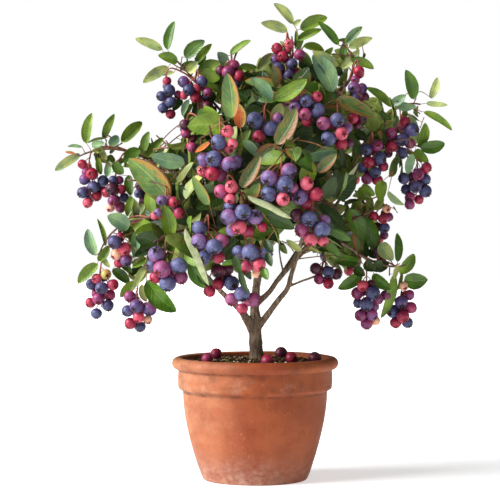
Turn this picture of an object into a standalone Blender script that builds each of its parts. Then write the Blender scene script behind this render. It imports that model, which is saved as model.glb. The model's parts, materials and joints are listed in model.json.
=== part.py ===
"""A fruiting serviceberry shrub in a clay pot, as separate named solids.

The pot, the soil, the trunk, one tapering bough for each mass of foliage, and the masses themselves.
Each mass has one stem that goes on from its bough's tip, twigs that branch from it by a seeded rule,
leaves set round the twigs, and bunches of berries that hang under it.
The origin is the centre of the pot's underside, +Z is up and -Y is the front. Sizes are in millimetres
until mm() turns them to metres.
"""

import math
import random
from collections import namedtuple

import bmesh
import bpy
from mathutils import Matrix, Quaternion, Vector
from mathutils.bvhtree import BVHTree
from mathutils.kdtree import KDTree

UP = Vector((0, 0, 1))
CLEARANCE = 0.3  # between solids that meet

# The pot, a turned shape
POT_RIM_RADIUS = 100.0
POT_HEIGHT = 147.0
POT_BASE_RADIUS = 62.4
POT_BODY_TOP_RADIUS = 86.6
POT_BODY_TOP = 104.0
POT_BULGE = 1.7  # above 1, the side swells outwards
COLLAR_RADIUS = 92.4
COLLAR_BOTTOM = 110.0
LIP_BOTTOM = 132.5
LIP_INNER_RADIUS = 87.5
POT_WALL = 8.0
POT_FLOOR = 9.0
POT_SIDES = 32
DRAIN_HOLES = 3
DRAIN_RADIUS = 5.0
DRAIN_CIRCLE = 30.0

# The soil, heaped a little round the trunk
SOIL_EDGE = 138.0
SOIL_SHOULDER = 139.6
SOIL_SHOULDER_RADIUS = 58.0
SOIL_TOP = 141.5
SOIL_TOP_RADIUS = 16.0
BERRY_SINK = 1.2  # how far a dropped berry lies in the soil

# The trunk, from the soil to its fork
TRUNK_TOP = 190.0
TRUNK_LEAN = 2.0
TRUNK_FOOT_RADIUS = 9.6
TRUNK_RADIUS = 7.9
TRUNK_FORK_RADIUS = 6.9
TRUNK_SIDES = 12
NODE_HEIGHT = 164.0
NODE_RADIUS = 8.0
NODE_REACH = 6.0  # above and below its middle
FLARE_HEIGHT = 9.0

# Boughs
MAIN_RADIUS, MAIN_SIDES = 3.2, 8  # from this butt radius up, a bough has this many sides
MIDDLE_RADIUS, MIDDLE_SIDES = 2.4, 6
SMALL_SIDES = 5
LIMB_AIR = 1.0  # round each limb, where no leaf or twig may come

# Twigs, leaves and fruit
STEM_SIDES = 4
STEM_POINTS = 4
FIRST_FORK, LAST_FORK = 0.2, 0.72  # shares of the stem between which twigs and stalks leave it
TWIG_SIDES = 3
STEM_TIP_RADIUS = 1.0
TWIG_SHARE = 0.66  # radius of a twig's root to its stem's
TWIG_TIP_RADIUS = 0.7
STALK_RISE = 0.25
TWIG_RISE = (-0.05, 0.16)  # how far a twig bows upwards, as a share of its length
REACH_SHARES = (0.74, 0.9)  # of a mass's reach, how far out its twigs end
LEAF_LENGTH = 46.0
LEAF_WIDTH = 0.52  # as a share of its length
LEAF_SPACING = 20.0
LEAF_FIRST = 0.36  # share of the twig that is bare
LEAF_LIFT = 0.35  # upward part of a leaf's direction
SIDE_LEAN, TIP_LEAN = 0.5, 1.3  # part of it that follows the twig, along the side and at the tip
FACE_UP, FACE_OUT, FACE_STRAY = 0.6, 0.65, 0.4  # how far leaves face up, out of the crown and astray
LEAF_SIZES = (1.0, 0.82)  # tried in turn where room is short
LEAF_ROOT_SHARE = 0.12  # of its length, sunk in its twig or bare beside it
GOLDEN_ANGLE = math.radians(137.5)
BERRY_RADIUS = 6.6
FRONT_BERRY_RADIUS = 8.2
FRONT_FROM, FRONT_FULL = -45.0, -115.0  # depths between which berries grow to the front size
FRUIT_STANDS_FOR = 3.0  # each solid berry stands for this many on the plant
LARGEST_BERRY = 1.25  # how much larger than life it may be for that
BUNCH_TURN = math.radians(125)
BUNCH_SLOPE = math.radians(50)
BERRY_STEP = 1.56  # in berry radii, from one to the next
SPACE_MARGIN = 1.6  # how much nearer a leaf keeps to its own mass than to any other
AIR = 0.8  # round twigs and berries
TWIG_TRIES = 6
TWIG_SWING = 3.0  # how much further a twig's end swings at each try
CROWN_MIDDLE = 360.0

Bough = namedtuple("Bough", "parent fork via tip butt_radius tip_radius")
Mass = namedtuple("Mass", "centre reach twigs leaders bunches")

# Each bough leaves its parent at the height "fork" and goes by way of a bend or two to its tip
BOUGHS = {
    "centre": Bough("trunk", TRUNK_TOP, [(1, 5, 225), (16, 15, 317), (54, 5, 422)], (104, -2, 468), 5.2, 2.3),
    "left": Bough("trunk", 184, [(-19, -20, 209)], (-64, -78, 256), 3.6, 1.9),
    "right_outer": Bough("trunk", 182, [(42, -15, 232), (61, -17, 279)], (99, -17, 302), 3.5, 2.0),
    "right_inner": Bough("centre", 209, [(29, 10, 240), (76, 15, 302)], (126, 2, 376), 3.3, 1.9),
    "twig_right": Bough("right_outer", 232, [(54, -18, 238)], (70, -20, 244), 1.6, 1.4),
    "low_right": Bough("right_outer", 288, [(102, -28, 284)], (122, -30, 272), 2.4, 1.7),
    "right_upper": Bough("right_inner", 350, [(128, 14, 398)], (155, 2, 432), 2.0, 1.6),
    "left_upper": Bough("centre", 290, [(-50, 2, 342)], (-128, -8, 384), 2.9, 1.8),
    "left_mid": Bough("left_upper", 333, [(-64, -28, 345)], (-88, -52, 350), 2.1, 1.6),
    "lower_left": Bough("centre", 252, [(-36, -48, 300)], (-98, -52, 312), 2.8, 1.8),
    "low_left_front": Bough("lower_left", 296, [(-62, -68, 303)], (-84, -80, 300), 2.1, 1.6),
    "front_left": Bough("centre", 276, [(-10, -66, 340)], (-38, -92, 386), 2.6, 1.7),
    "front": Bough("centre", 236, [(2, -52, 280)], (-6, -104, 326), 2.6, 1.7),
    "front_right": Bough("right_inner", 262, [(55, -58, 292)], (60, -92, 332), 2.3, 1.6),
    "centre_front": Bough("centre", 322, [(26, -55, 350)], (34, -98, 384), 2.5, 1.6),
    "upper_front": Bough("centre", 384, [(38, -30, 418)], (38, -62, 440), 2.2, 1.6),
    "upper_right_front": Bough("centre", 420, [(74, -26, 436)], (92, -56, 446), 2.0, 1.5),
    "top": Bough("centre", 366, [(36, 26, 430)], (43, 12, 484), 2.5, 1.7),
    "top_left": Bough("centre", 338, [(-10, 20, 404)], (-58, 4, 462), 2.7, 1.7),
    "top_mid": Bough("top_left", 410, [(-18, 0, 440)], (-24, -12, 462), 1.9, 1.5),
    "back_top": Bough("top", 404, [(18, 56, 446)], (6, 84, 466), 2.0, 1.6),
    "back_left": Bough("centre", 300, [(-36, 62, 352)], (-84, 92, 386), 2.6, 1.7),
    "back_right": Bough("right_inner", 298, [(94, 66, 352)], (110, 94, 392), 2.3, 1.7),
    "back_low_left": Bough("centre", 244, [(-28, 56, 284)], (-80, 96, 300), 2.6, 1.7),
    "back_low_right": Bough("right_inner", 240, [(58, 64, 280)], (86, 104, 296), 2.4, 1.7),
    "back": Bough("centre", 268, [(8, 64, 318)], (4, 108, 360), 2.6, 1.7),
}

# Each mass fills a ball of its reach about its centre. Leaders are the shoots that give the crown its
# outline. A bunch is the centre of its berries and how many the plant has there
MASSES = {
    "centre": Mass((114, 0, 504), 46, 5, [(104, 0, 526), (134, -4, 516)], [(124, -22, 476, 6)]),
    "left": Mass((-56, -100, 268), 40, 4, [], [(-51, -128, 284, 8), (-43, -88, 240, 6)]),
    "right_outer": Mass((134, -10, 310), 46, 5, [(158, 0, 330)], [(151, -10, 310, 7)]),
    "right_inner": Mass((168, -20, 382), 46, 5, [(200, -8, 398)], [(139, -34, 376, 9), (191, -17, 352, 10)]),
    "twig_right": Mass((88, -22, 262), 26, 3, [], [(85, -25, 242, 5)]),
    "low_right": Mass((156, -30, 252), 44, 5, [(178, -24, 258)], [(130, -42, 213, 11), (175, -20, 211, 9)]),
    "right_upper": Mass((184, 4, 442), 48, 5, [(198, 0, 450), (184, 4, 466)], [(174, -14, 411, 7)]),
    "left_upper": Mass((-176, -8, 394), 52, 5, [(-210, -4, 388), (-180, 0, 414), (-138, 0, 412)],
                       [(-194, -10, 356, 10), (-164, -28, 346, 8)]),
    "left_mid": Mass((-122, -62, 362), 42, 4, [], [(-136, -52, 340, 5), (-106, -92, 330, 5)]),
    "lower_left": Mass((-152, -34, 278), 44, 5, [(-184, -28, 274), (-168, -30, 298)],
                       [(-156, -52, 275, 6), (-183, -30, 223, 10)]),
    "low_left_front": Mass((-110, -72, 268), 40, 4, [], [(-101, -104, 256, 8), (-136, -60, 203, 9)]),
    "front_left": Mass((-56, -106, 402), 46, 5, [], [(-42, -130, 390, 10), (-84, -72, 414, 4)]),
    "front": Mass((-14, -132, 312), 44, 5, [],
                  [(-16, -152, 312, 7), (-2, -140, 268, 6), (-15, -112, 224, 6), (-31, -140, 350, 4)]),
    "front_right": Mass((68, -108, 326), 42, 4, [], [(65, -130, 303, 8)]),
    "centre_front": Mass((40, -124, 378), 42, 5, [], [(25, -146, 352, 7), (62, -132, 346, 7)]),
    "upper_front": Mass((30, -86, 456), 44, 5, [], [(58, -98, 442, 9), (10, -104, 418, 5)]),
    "upper_right_front": Mass((102, -78, 446), 42, 5, [], [(92, -100, 412, 8), (120, -62, 430, 5)]),
    "top": Mass((43, 10, 514), 44, 5, [(44, 8, 532), (68, 8, 530)], [(39, -12, 500, 10)]),
    "top_left": Mass((-84, 0, 492), 46, 5, [(-100, 0, 508), (-62, 4, 512)],
                     [(-103, -14, 460, 7), (-72, -22, 468, 8)]),
    "top_mid": Mass((-20, -16, 500), 34, 4, [(-18, -10, 518)], [(-30, -34, 486, 6)]),
    "back_top": Mass((0, 112, 488), 50, 5, [], [(-16, 118, 444, 8)]),
    "back_left": Mass((-104, 118, 410), 54, 5, [], [(-124, 120, 368, 8), (-76, 142, 376, 8)]),
    "back_right": Mass((116, 122, 418), 54, 5, [], [(128, 126, 376, 8), (88, 148, 384, 7)]),
    "back_low_left": Mass((-108, 124, 302), 52, 5, [], [(-124, 126, 262, 9), (-72, 146, 268, 7)]),
    "back_low_right": Mass((104, 132, 300), 52, 5, [], [(120, 128, 262, 8), (70, 146, 266, 8)]),
    "back": Mass((2, 156, 366), 54, 5, [], [(-22, 176, 328, 8), (30, 172, 336, 8)]),
}

# Fallen berries on the soil: x, y and radius
FALLEN = [(-45, 0, 6.9), (-53, -54, 6.7), (13, -73, 7.0), (31, 16, 6.9), (44, -54, 7.0), (67, -33, 6.6)]

COLOURS = {  # base colour, roughness
    "clay": ((0.52, 0.20, 0.10), 0.85),
    "soil": ((0.045, 0.035, 0.025), 0.95),
    "bark": ((0.15, 0.11, 0.085), 0.85),
    "foliage": ((0.10, 0.19, 0.06), 0.55),
}


def mm(point):
    """A point in millimetres as a vector in metres."""
    return Vector(point) / 1000


def clear_scene():
    for obj in list(bpy.data.objects):
        bpy.data.objects.remove(obj)


def material(name):
    """A plain finish with the part's own colour."""
    made = bpy.data.materials.get(name)
    if made is None:
        colour, roughness = COLOURS[name]
        made = bpy.data.materials.new(name)
        made.use_nodes = True
        shader = made.node_tree.nodes["Principled BSDF"]
        shader.inputs["Base Color"].default_value = (*colour, 1)
        shader.inputs["Roughness"].default_value = roughness
        shader.inputs["Metallic"].default_value = 0
    return made


def add_object(name, points, faces, finish, collection=None):
    """A mesh object from points in millimetres and faces."""
    mesh = bpy.data.meshes.new(name)
    mesh.from_pydata([mm(p) for p in points], [], faces)
    mesh.materials.append(material(finish))
    obj = bpy.data.objects.new(name, mesh)
    (collection or bpy.context.scene.collection).objects.link(obj)
    return obj


def smooth(obj, degrees=35):
    obj.data.shade_smooth()
    obj.data.set_sharp_from_angle(angle=math.radians(degrees))


def apply_boolean(obj, operation, cutter=None, collection=None):
    """Joins to obj, or cuts from it, and removes what it was joined to or cut by."""
    modifier = obj.modifiers.new("joint", "BOOLEAN")
    modifier.operation = operation
    if collection:
        modifier.operand_type = "COLLECTION"
        modifier.collection = collection
    else:
        modifier.object = cutter
    graph = bpy.context.evaluated_depsgraph_get()
    made = bpy.data.meshes.new_from_object(obj.evaluated_get(graph))
    obj.modifiers.remove(modifier)
    obj.data = made
    for used in list(collection.objects) if collection else [cutter]:
        bpy.data.objects.remove(used)
    if collection:
        bpy.data.collections.remove(collection)


def turned(name, profile, sides, finish):
    """A closed solid of revolution from (radius, height) pairs that start and end on the axis."""
    points, faces, rings = [], [], []
    for radius, height in profile:
        if radius == 0:
            rings.append([len(points)] * sides)
            points.append((0, 0, height))
            continue
        rings.append(list(range(len(points), len(points) + sides)))
        for i in range(sides):
            angle = 2 * math.pi * i / sides
            points.append((radius * math.cos(angle), radius * math.sin(angle), height))
    for lower, upper in zip(rings, rings[1:]):
        for i in range(sides):
            j = (i + 1) % sides
            corners = [lower[i], lower[j], upper[j], upper[i]]
            faces.append(list(dict.fromkeys(corners)))
    return add_object(name, points, faces, finish)


def pot_side(height):
    """Outer radius of the pot's body at a height."""
    share = min(1.0, height / POT_BODY_TOP)
    return POT_BASE_RADIUS + (POT_BODY_TOP_RADIUS - POT_BASE_RADIUS) * (1 - (1 - share) ** POT_BULGE)


def arc(centre, radii, start, end, count):
    """Points on an ellipse in the profile plane, between two angles in degrees."""
    angles = [math.radians(start + (end - start) * i / (count - 1)) for i in range(count)]
    return [(centre[0] + radii[0] * math.cos(a), centre[1] + radii[1] * math.sin(a)) for a in angles]


def inner_profile(gap=0.0):
    """The pot's inside, from the floor's middle up to below the lip, taken in by a gap."""
    heights = [POT_FLOOR + 8, POT_BODY_TOP * 0.55, POT_BODY_TOP]
    side = [(pot_side(h) - POT_WALL - gap, h) for h in heights]
    floor = [(0, POT_FLOOR + gap), (pot_side(POT_FLOOR) - POT_WALL - 6 - gap, POT_FLOOR + gap)]
    return floor + side


def make_pot():
    body = [(pot_side(POT_BODY_TOP * i / 4), POT_BODY_TOP * i / 4) for i in range(5)]
    collar = [(COLLAR_RADIUS - 1.2, COLLAR_BOTTOM - 1.5), (COLLAR_RADIUS, COLLAR_BOTTOM + 1.5)]
    lip_middle = (LIP_BOTTOM + POT_HEIGHT) / 2
    lip_half = (POT_HEIGHT - LIP_BOTTOM) / 2
    lip = arc((COLLAR_RADIUS, lip_middle), (POT_RIM_RADIUS - COLLAR_RADIUS, lip_half), -90, 90, 5)
    inside = [(LIP_INNER_RADIUS, POT_HEIGHT - 1.5)]
    profile = [(0, 0)] + body + collar + lip + inside + inner_profile()[::-1]
    pot = turned("pot", profile, POT_SIDES, "clay")
    for i in range(DRAIN_HOLES):
        angle = 2 * math.pi * (i + 0.25) / DRAIN_HOLES
        at = DRAIN_CIRCLE * Vector((math.cos(angle), math.sin(angle), 0))
        hole = turned("drain_cutter", [(0, -5), (DRAIN_RADIUS, -5), (DRAIN_RADIUS, 20), (0, 20)], 8, "clay")
        hole.data.transform(Matrix.Translation(mm(at)))
        apply_boolean(pot, "DIFFERENCE", cutter=hole)
    smooth(pot)


def make_soil():
    """Soil that fills the pot, with a flat seat for the trunk and the berries that have dropped on it."""
    rim = [(LIP_INNER_RADIUS - 1.5 - CLEARANCE, SOIL_EDGE)]
    top = [(SOIL_SHOULDER_RADIUS, SOIL_SHOULDER), (SOIL_TOP_RADIUS, SOIL_TOP), (0, SOIL_TOP)]
    soil = turned("soil", inner_profile(CLEARANCE) + rim + top, POT_SIDES, "soil")
    berries = bpy.data.collections.new("fallen")
    bpy.context.scene.collection.children.link(berries)
    for i, (x, y, radius) in enumerate(FALLEN):
        centre = Vector((x, y, soil_height(math.hypot(x, y)) + radius - BERRY_SINK))
        add_berry(centre, radius, random.Random(i), berries)
    apply_boolean(soil, "UNION", collection=berries)
    smooth(soil)


def soil_height(radius):
    """Height of the soil's surface at a distance from the axis."""
    if radius < SOIL_SHOULDER_RADIUS:
        share = max(0.0, radius - SOIL_TOP_RADIUS) / (SOIL_SHOULDER_RADIUS - SOIL_TOP_RADIUS)
        return SOIL_TOP + (SOIL_SHOULDER - SOIL_TOP) * share
    share = (radius - SOIL_SHOULDER_RADIUS) / (LIP_INNER_RADIUS - SOIL_SHOULDER_RADIUS)
    return SOIL_SHOULDER + (SOIL_EDGE - SOIL_SHOULDER) * share


def spline(way, count):
    """A smooth curve of count points through the way points, in millimetres."""
    way = [Vector(p) for p in way]
    way = [2 * way[0] - way[1]] + way + [2 * way[-1] - way[-2]]
    spans = len(way) - 3
    line = []
    for i in range(count):
        at = i * spans / (count - 1)
        k = min(int(at), spans - 1)
        t = at - k
        a, b, c, d = way[k : k + 4]
        square, cube = 2 * a - 5 * b + 4 * c - d, 3 * b - a - 3 * c + d
        line.append(b + 0.5 * ((c - a) * t + square * t**2 + cube * t**3))
    return line


def bow(start, control, end, count):
    """A single bend from start to end, drawn towards a control point."""
    line = []
    for i in range(count):
        t = i / (count - 1)
        line.append((1 - t) ** 2 * start + 2 * t * (1 - t) * control + t**2 * end)
    return line


def point_on(line, share):
    """The point at a share of the way along a line."""
    at = share * (len(line) - 1)
    k = min(int(at), len(line) - 2)
    return line[k].lerp(line[k + 1], at - k)


def frames(line, heading=None):
    """At each point of a line, two directions square to it, with no twist from point to point."""
    tangents = []
    for i in range(len(line)):
        ahead, behind = line[min(i + 1, len(line) - 1)], line[max(i - 1, 0)]
        tangents.append((ahead - behind).normalized())
    if heading:
        tangents[0] = heading
    side = tangents[0].orthogonal().normalized()
    found = []
    for tangent in tangents:
        side = (side - side.dot(tangent) * tangent).normalized()
        found.append((side, tangent.cross(side)))
    return found


def tube_mesh(line, radii, sides, heading=None):
    """Points and faces of a closed tapering tube along a line, its first end square to a heading."""
    points, faces = [], []
    for centre, radius, (side, other) in zip(line, radii, frames(line, heading)):
        for i in range(sides):
            angle = 2 * math.pi * i / sides
            points.append(centre + radius * (math.cos(angle) * side + math.sin(angle) * other))
    for ring in range(len(line) - 1):
        a, b = ring * sides, (ring + 1) * sides
        for i in range(sides):
            j = (i + 1) % sides
            faces.append([a + i, a + j, b + j, b + i])
    faces.append(list(range(sides))[::-1])
    faces.append([len(points) - sides + i for i in range(sides)])
    return points, faces


def limb_mesh(name, limbs, grown=0.0):
    """Points and faces of a limb, or of one whose faces all stand out further by the grown distance."""
    line, radii = limbs[name]
    sides = limb_sides(name)
    wide = [r + grown / math.cos(math.pi / sides) for r in radii]
    points, faces = tube_mesh(line, wide, sides, UP if name in ("trunk", "centre") else None)
    for i in range(sides):
        points[i] -= (line[1] - line[0]).normalized() * grown
        points[-1 - i] += (line[-1] - line[-2]).normalized() * grown
    return points, faces


def taper(first, last, count):
    return [first + (last - first) * i / (count - 1) for i in range(count)]


def trunk_line():
    """The trunk leans a little, upright at its foot and at its fork, and swells at a node half way up."""
    foot = SOIL_TOP + CLEARANCE
    heights = [foot, foot + FLARE_HEIGHT * 0.4, foot + FLARE_HEIGHT, NODE_HEIGHT - NODE_REACH, NODE_HEIGHT,
               NODE_HEIGHT + NODE_REACH, TRUNK_TOP - 8, TRUNK_TOP]
    radii = [TRUNK_FOOT_RADIUS, (TRUNK_FOOT_RADIUS + TRUNK_RADIUS) / 2, TRUNK_RADIUS, TRUNK_RADIUS * 0.96,
             NODE_RADIUS, TRUNK_RADIUS * 0.92, TRUNK_FORK_RADIUS, TRUNK_FORK_RADIUS]
    across = [1, 1, 0.8, 0.55, 0.4, 0.25, 0, 0]
    return [Vector((TRUNK_LEAN * x, 0, z)) for x, z in zip(across, heights)], radii


def at_height(line, height):
    """The first point of a rising line at a height, and the share of the line it is at."""
    for i, (low, high) in enumerate(zip(line, line[1:])):
        if low.z <= height <= high.z:
            t = (height - low.z) / max(1e-6, high.z - low.z)
            return low.lerp(high, t), (i + t) / (len(line) - 1)
    return line[-1], 1.0


def limb_lines():
    """Centre lines and radii of the trunk and every bough, the trunk first."""
    limbs = {"trunk": trunk_line()}
    for name, bough in BOUGHS.items():
        parent, _ = limbs[bough.parent]
        start, share = at_height(parent, bough.fork)
        if share == 1.0:
            start = start + CLEARANCE * UP
        way = [start] + [Vector(p) for p in bough.via] + [Vector(bough.tip)]
        count = 2 + len(bough.via) * 2 if bough.butt_radius > MAIN_RADIUS else 4
        limbs[name] = spline(way, count), taper(bough.butt_radius, bough.tip_radius, count)
    return limbs


def limb_sides(name):
    if name == "trunk":
        return TRUNK_SIDES
    if BOUGHS[name].butt_radius > MAIN_RADIUS:
        return MAIN_SIDES
    return MIDDLE_SIDES if BOUGHS[name].butt_radius > MIDDLE_RADIUS else SMALL_SIDES


def butts_against(name):
    """The limbs that a bough's butt is cut to fit."""
    if name in ("trunk", "centre"):
        return []
    parent = BOUGHS[name].parent
    return ["trunk", "centre"] if parent == "trunk" else [parent]


def make_limbs(limbs):
    """The trunk and the boughs, each bough's butt cut to fit against its parent."""
    for name in limbs:
        label = name if name == "trunk" else "bough_" + name
        limb = add_object(label, *limb_mesh(name, limbs), "bark")
        for other in butts_against(name):
            cutter = add_object("cutter", *limb_mesh(other, limbs, CLEARANCE), "bark")
            apply_boolean(limb, "DIFFERENCE", cutter=cutter)
        smooth(limb, 50)


def spread_directions(count, outward, rng):
    """Directions spread evenly over the outer and upper part of a sphere."""
    wanted = (outward + 0.5 * UP).normalized()
    turn = rng.uniform(0, 2 * math.pi)
    to_outward = UP.rotation_difference(wanted)
    found = []
    for i in range(count):
        height = 1 - 1.45 * (i + 0.5) / count
        ring = math.sqrt(max(0.0, 1 - height * height))
        angle = turn + i * GOLDEN_ANGLE
        found.append(to_outward @ Vector((ring * math.cos(angle), ring * math.sin(angle), height)))
    return found


def berry_radius(depth):
    """Berries on the front bunches are the ripest and largest."""
    share = (FRONT_FROM - depth) / (FRONT_FROM - FRONT_FULL)
    return BERRY_RADIUS + (FRONT_BERRY_RADIUS - BERRY_RADIUS) * min(1.0, max(0.0, share))


def hang_bunch(count, radius, rng):
    """Centres of berries in a zigzag that hangs down, each sunk a little in the one above it."""
    centres = [Vector((0, 0, 0))]
    turn = rng.uniform(0, 2 * math.pi)
    for i in range(1, count):
        angle = turn + i * BUNCH_TURN
        slope = Vector((math.cos(angle) * math.sin(BUNCH_SLOPE), math.sin(angle) * math.sin(BUNCH_SLOPE),
                        -math.cos(BUNCH_SLOPE)))
        centres.append(centres[-1] + slope * radius * BERRY_STEP)
    middle = sum(centres, Vector()) / count
    return [c - middle for c in centres]


def branch_off(stem, stem_radius, share, end, lift):
    """A twig that leaves the stem at a share of its length, two thirds as thick as the stem is there."""
    root = point_on(stem, share)
    radius = (stem_radius + (STEM_TIP_RADIUS - stem_radius) * share) * TWIG_SHARE
    return bow(root, root.lerp(end, 0.5) + lift, end, 3), taper(radius, TWIG_TIP_RADIUS, 3)


def start_mass(name, limbs):
    """The stem of a mass, where its twigs are to end, and shares of the stem where things leave it."""
    mass = MASSES[name]
    rng = random.Random(name)
    line, radii = limbs[name]
    heading = (line[-1] - line[-2]).normalized()
    centre = Vector(mass.centre)
    start = line[-1] + heading * CLEARANCE
    outward = Vector((centre.x, centre.y, centre.z - CROWN_MIDDLE)).normalized()
    ends = [Vector(p) for p in mass.leaders]
    for direction in spread_directions(mass.twigs - len(ends), outward, rng):
        ends.append(centre + direction * mass.reach * rng.uniform(*REACH_SHARES))
    bend = start + heading * (centre - start).length
    stem = bow(start, bend, ends[0], STEM_POINTS)
    forks = len(ends) - 1 + len(mass.bunches)
    shares = [FIRST_FORK + (LAST_FORK - FIRST_FORK) * i / (forks - 1) for i in range(forks)]
    radius = radii[-1] * 0.95
    return {"rng": rng, "heading": heading, "stem": (stem, taper(radius, STEM_TIP_RADIUS, STEM_POINTS)),
            "radius": radius, "ends": ends[1:], "shares": shares, "twigs": [], "stalks": [], "berries": [],
            "taken": [swept(stem, taper(radius, STEM_TIP_RADIUS, STEM_POINTS), STEM_SIDES)]}


def swept(line, radii, sides):
    """A search tree of a twig with some air round it."""
    return BVHTree.FromPolygons(*tube_mesh(line, [r + AIR for r in radii], sides))


def ball(centre, radius):
    """A search tree of a berry with some air round it."""
    points, faces = tube_mesh([centre + UP * h * (radius + AIR) for h in (-1, -0.5, 0.5, 1)],
                              [(radius + AIR) * r for r in (0.2, 0.9, 0.9, 0.2)], 8)
    return BVHTree.FromPolygons(points, faces)


def is_clear(shape, name, growth, limb_tree):
    """Whether a shape touches no limb, and no other mass as it has grown so far."""
    if limb_tree.overlap(shape):
        return False
    return not any(shape.overlap(tree) for other in growth if other != name for tree in growth[other]["taken"])


def grow_bunches(name, growth, limb_tree):
    """The stalk and the berries of each bunch that finds room."""
    mass, grown = MASSES[name], growth[name]
    for x, y, z, count in mass.bunches:
        middle, radius = Vector((x, y, z)), berry_radius(y)
        solid_count = max(2, round(count / FRUIT_STANDS_FOR))
        solid_radius = radius * min(LARGEST_BERRY, (count / solid_count) ** (1 / 3))
        offsets = hang_bunch(solid_count, solid_radius, grown["rng"])
        berries = [(middle + offset, solid_radius) for offset in offsets]
        head = berries[0][0]
        stem = grown["stem"][0]
        lift = UP * STALK_RISE * (head - stem[1]).length
        stalk = branch_off(stem, grown["radius"], grown["shares"].pop(0), head, lift)
        shapes = [swept(*stalk, TWIG_SIDES)] + [ball(*berry) for berry in berries]
        if all(is_clear(shape, name, growth, limb_tree) for shape in shapes):
            grown["stalks"].append(stalk)
            grown["berries"] += berries
            grown["taken"] += shapes


def grow_twigs(name, growth, limb_tree, trees):
    """The twigs that find room in the mass's own space, each given a few tries."""
    grown = growth[name]
    stem, rng = grown["stem"][0], grown["rng"]
    for end in grown["ends"]:
        share = grown["shares"].pop(0)
        for attempt in range(TWIG_TRIES):
            swing = [rng.uniform(-TWIG_SWING, TWIG_SWING) * attempt for _ in range(3)]
            lift = UP * (end - stem[1]).length * rng.uniform(*TWIG_RISE)
            twig = branch_off(stem, grown["radius"], share, end + Vector(swing), lift)
            shape = swept(*twig, TWIG_SIDES)
            if in_own_space(twig[0][1:], name, trees) and is_clear(shape, name, growth, limb_tree):
                grown["twigs"].append(twig)
                grown["taken"].append(shape)
                break


def leaf_mesh(root, direction, normal, length):
    """A leaf of eight faces, flat above between its raised edges, with the midrib as a keel below."""
    side = direction.cross(normal).normalized()
    face = side.cross(direction).normalized()
    half = length * LEAF_WIDTH / 2

    def place(along, across, lift):
        return root + direction * along * length + side * across * half + face * lift * length

    points = [place(0, 0, 0), place(0.3, 0.94, 0.07), place(0.7, 0.86, 0.06), place(1, 0, 0),
              place(0.7, -0.86, 0.06), place(0.3, -0.94, 0.07)]
    above = [[0, 1, 5], [1, 2, 4], [1, 4, 5], [2, 3, 4]]
    below = [[0, 3, 1], [3, 2, 1], [0, 5, 3], [5, 4, 3]]
    return points, above + below


def leaf_seats(twig, sides, first):
    """Where leaves may sit on a twig, with more at its tip: root, twig direction and ways to face."""
    length = sum((b - a).length for a, b in zip(twig, twig[1:]))
    count = max(2, round(length * (1 - first) / LEAF_SPACING))
    sets = frames(twig)
    seats = []
    for i in range(count + 1):
        share = first + (0.96 - first) * i / count
        k = min(int(share * (len(twig) - 1)), len(twig) - 2)
        side, other = sets[k]
        angles = [2 * math.pi * (i + rank + 0.5) / sides for rank in range(sides)]
        around = [math.cos(a) * side + math.sin(a) * other for a in angles]
        lean = SIDE_LEAN if i < count else TIP_LEAN
        seats.append((point_on(twig, share), lean * (twig[k + 1] - twig[k]).normalized(), around))
    return seats


def try_leaves(seat, name, growth, trees, limb_tree, taken):
    """The first leaf on a seat that keeps to its mass's space and touches nothing, if any does."""
    root, along, around = seat
    rng = growth[name]["rng"]
    start = rng.randrange(len(around))
    for shrink in LEAF_SIZES:
        for i in range(len(around)):
            radial = around[(start + i) % len(around)]
            direction = (radial + along + LEAF_LIFT * UP).normalized()
            facing = UP * FACE_UP + Vector((root.x, root.y, 0)).normalized() * FACE_OUT
            normal = facing + Vector([rng.uniform(-FACE_STRAY, FACE_STRAY) for _ in range(3)])
            points, faces = leaf_mesh(root, direction, normal, LEAF_LENGTH * shrink * rng.uniform(0.9, 1.1))
            if not in_own_space(leaf_probes(points)[1:], name, trees):
                continue
            shape = blade(points, faces)
            if any(shape.overlap(other) for other in taken):
                continue
            if is_clear(shape, name, growth, limb_tree):
                taken.append(shape)
                return points, faces
    return None


def add_berry(centre, radius, rng, collection):
    """A berry of twenty faces, turned at random."""
    mesh = bpy.data.meshes.new("berry")
    shape = bmesh.new()
    bmesh.ops.create_icosphere(shape, subdivisions=1, radius=radius / 1000)
    turn = Quaternion((rng.gauss(0, 1), rng.gauss(0, 1), rng.gauss(0, 1)), rng.uniform(0, math.pi))
    bmesh.ops.rotate(shape, verts=shape.verts, matrix=turn.to_matrix())
    bmesh.ops.translate(shape, verts=shape.verts, vec=mm(centre))
    shape.to_mesh(mesh)
    shape.free()
    berry = bpy.data.objects.new("berry", mesh)
    collection.objects.link(berry)
    return berry


def space_trees(growth):
    """One search tree of points for each mass: its space is what lies nearer to them than to others'."""
    trees = {}
    for name, grown in growth.items():
        points = [p for line, _ in [grown["stem"]] + grown["twigs"] + grown["stalks"]
                  for a, b in zip(line, line[1:]) for p in (a, a.lerp(b, 0.33), a.lerp(b, 0.67), b)]
        points += [centre for centre, _ in grown["berries"]]
        tree = KDTree(len(points))
        for i, point in enumerate(points):
            tree.insert(point, i)
        tree.balance()
        trees[name] = tree
    return trees


def in_own_space(points, name, trees):
    for point in points:
        own = trees[name].find(point)[2]
        if any(tree.find(point)[2] < own + SPACE_MARGIN for other, tree in trees.items() if other != name):
            return False
    return True


def leaf_probes(points):
    """The leaf's corners and the middles of its edges."""
    return points + [points[i].lerp(points[(i + 1) % 6], 0.5) for i in range(6)]


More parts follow.
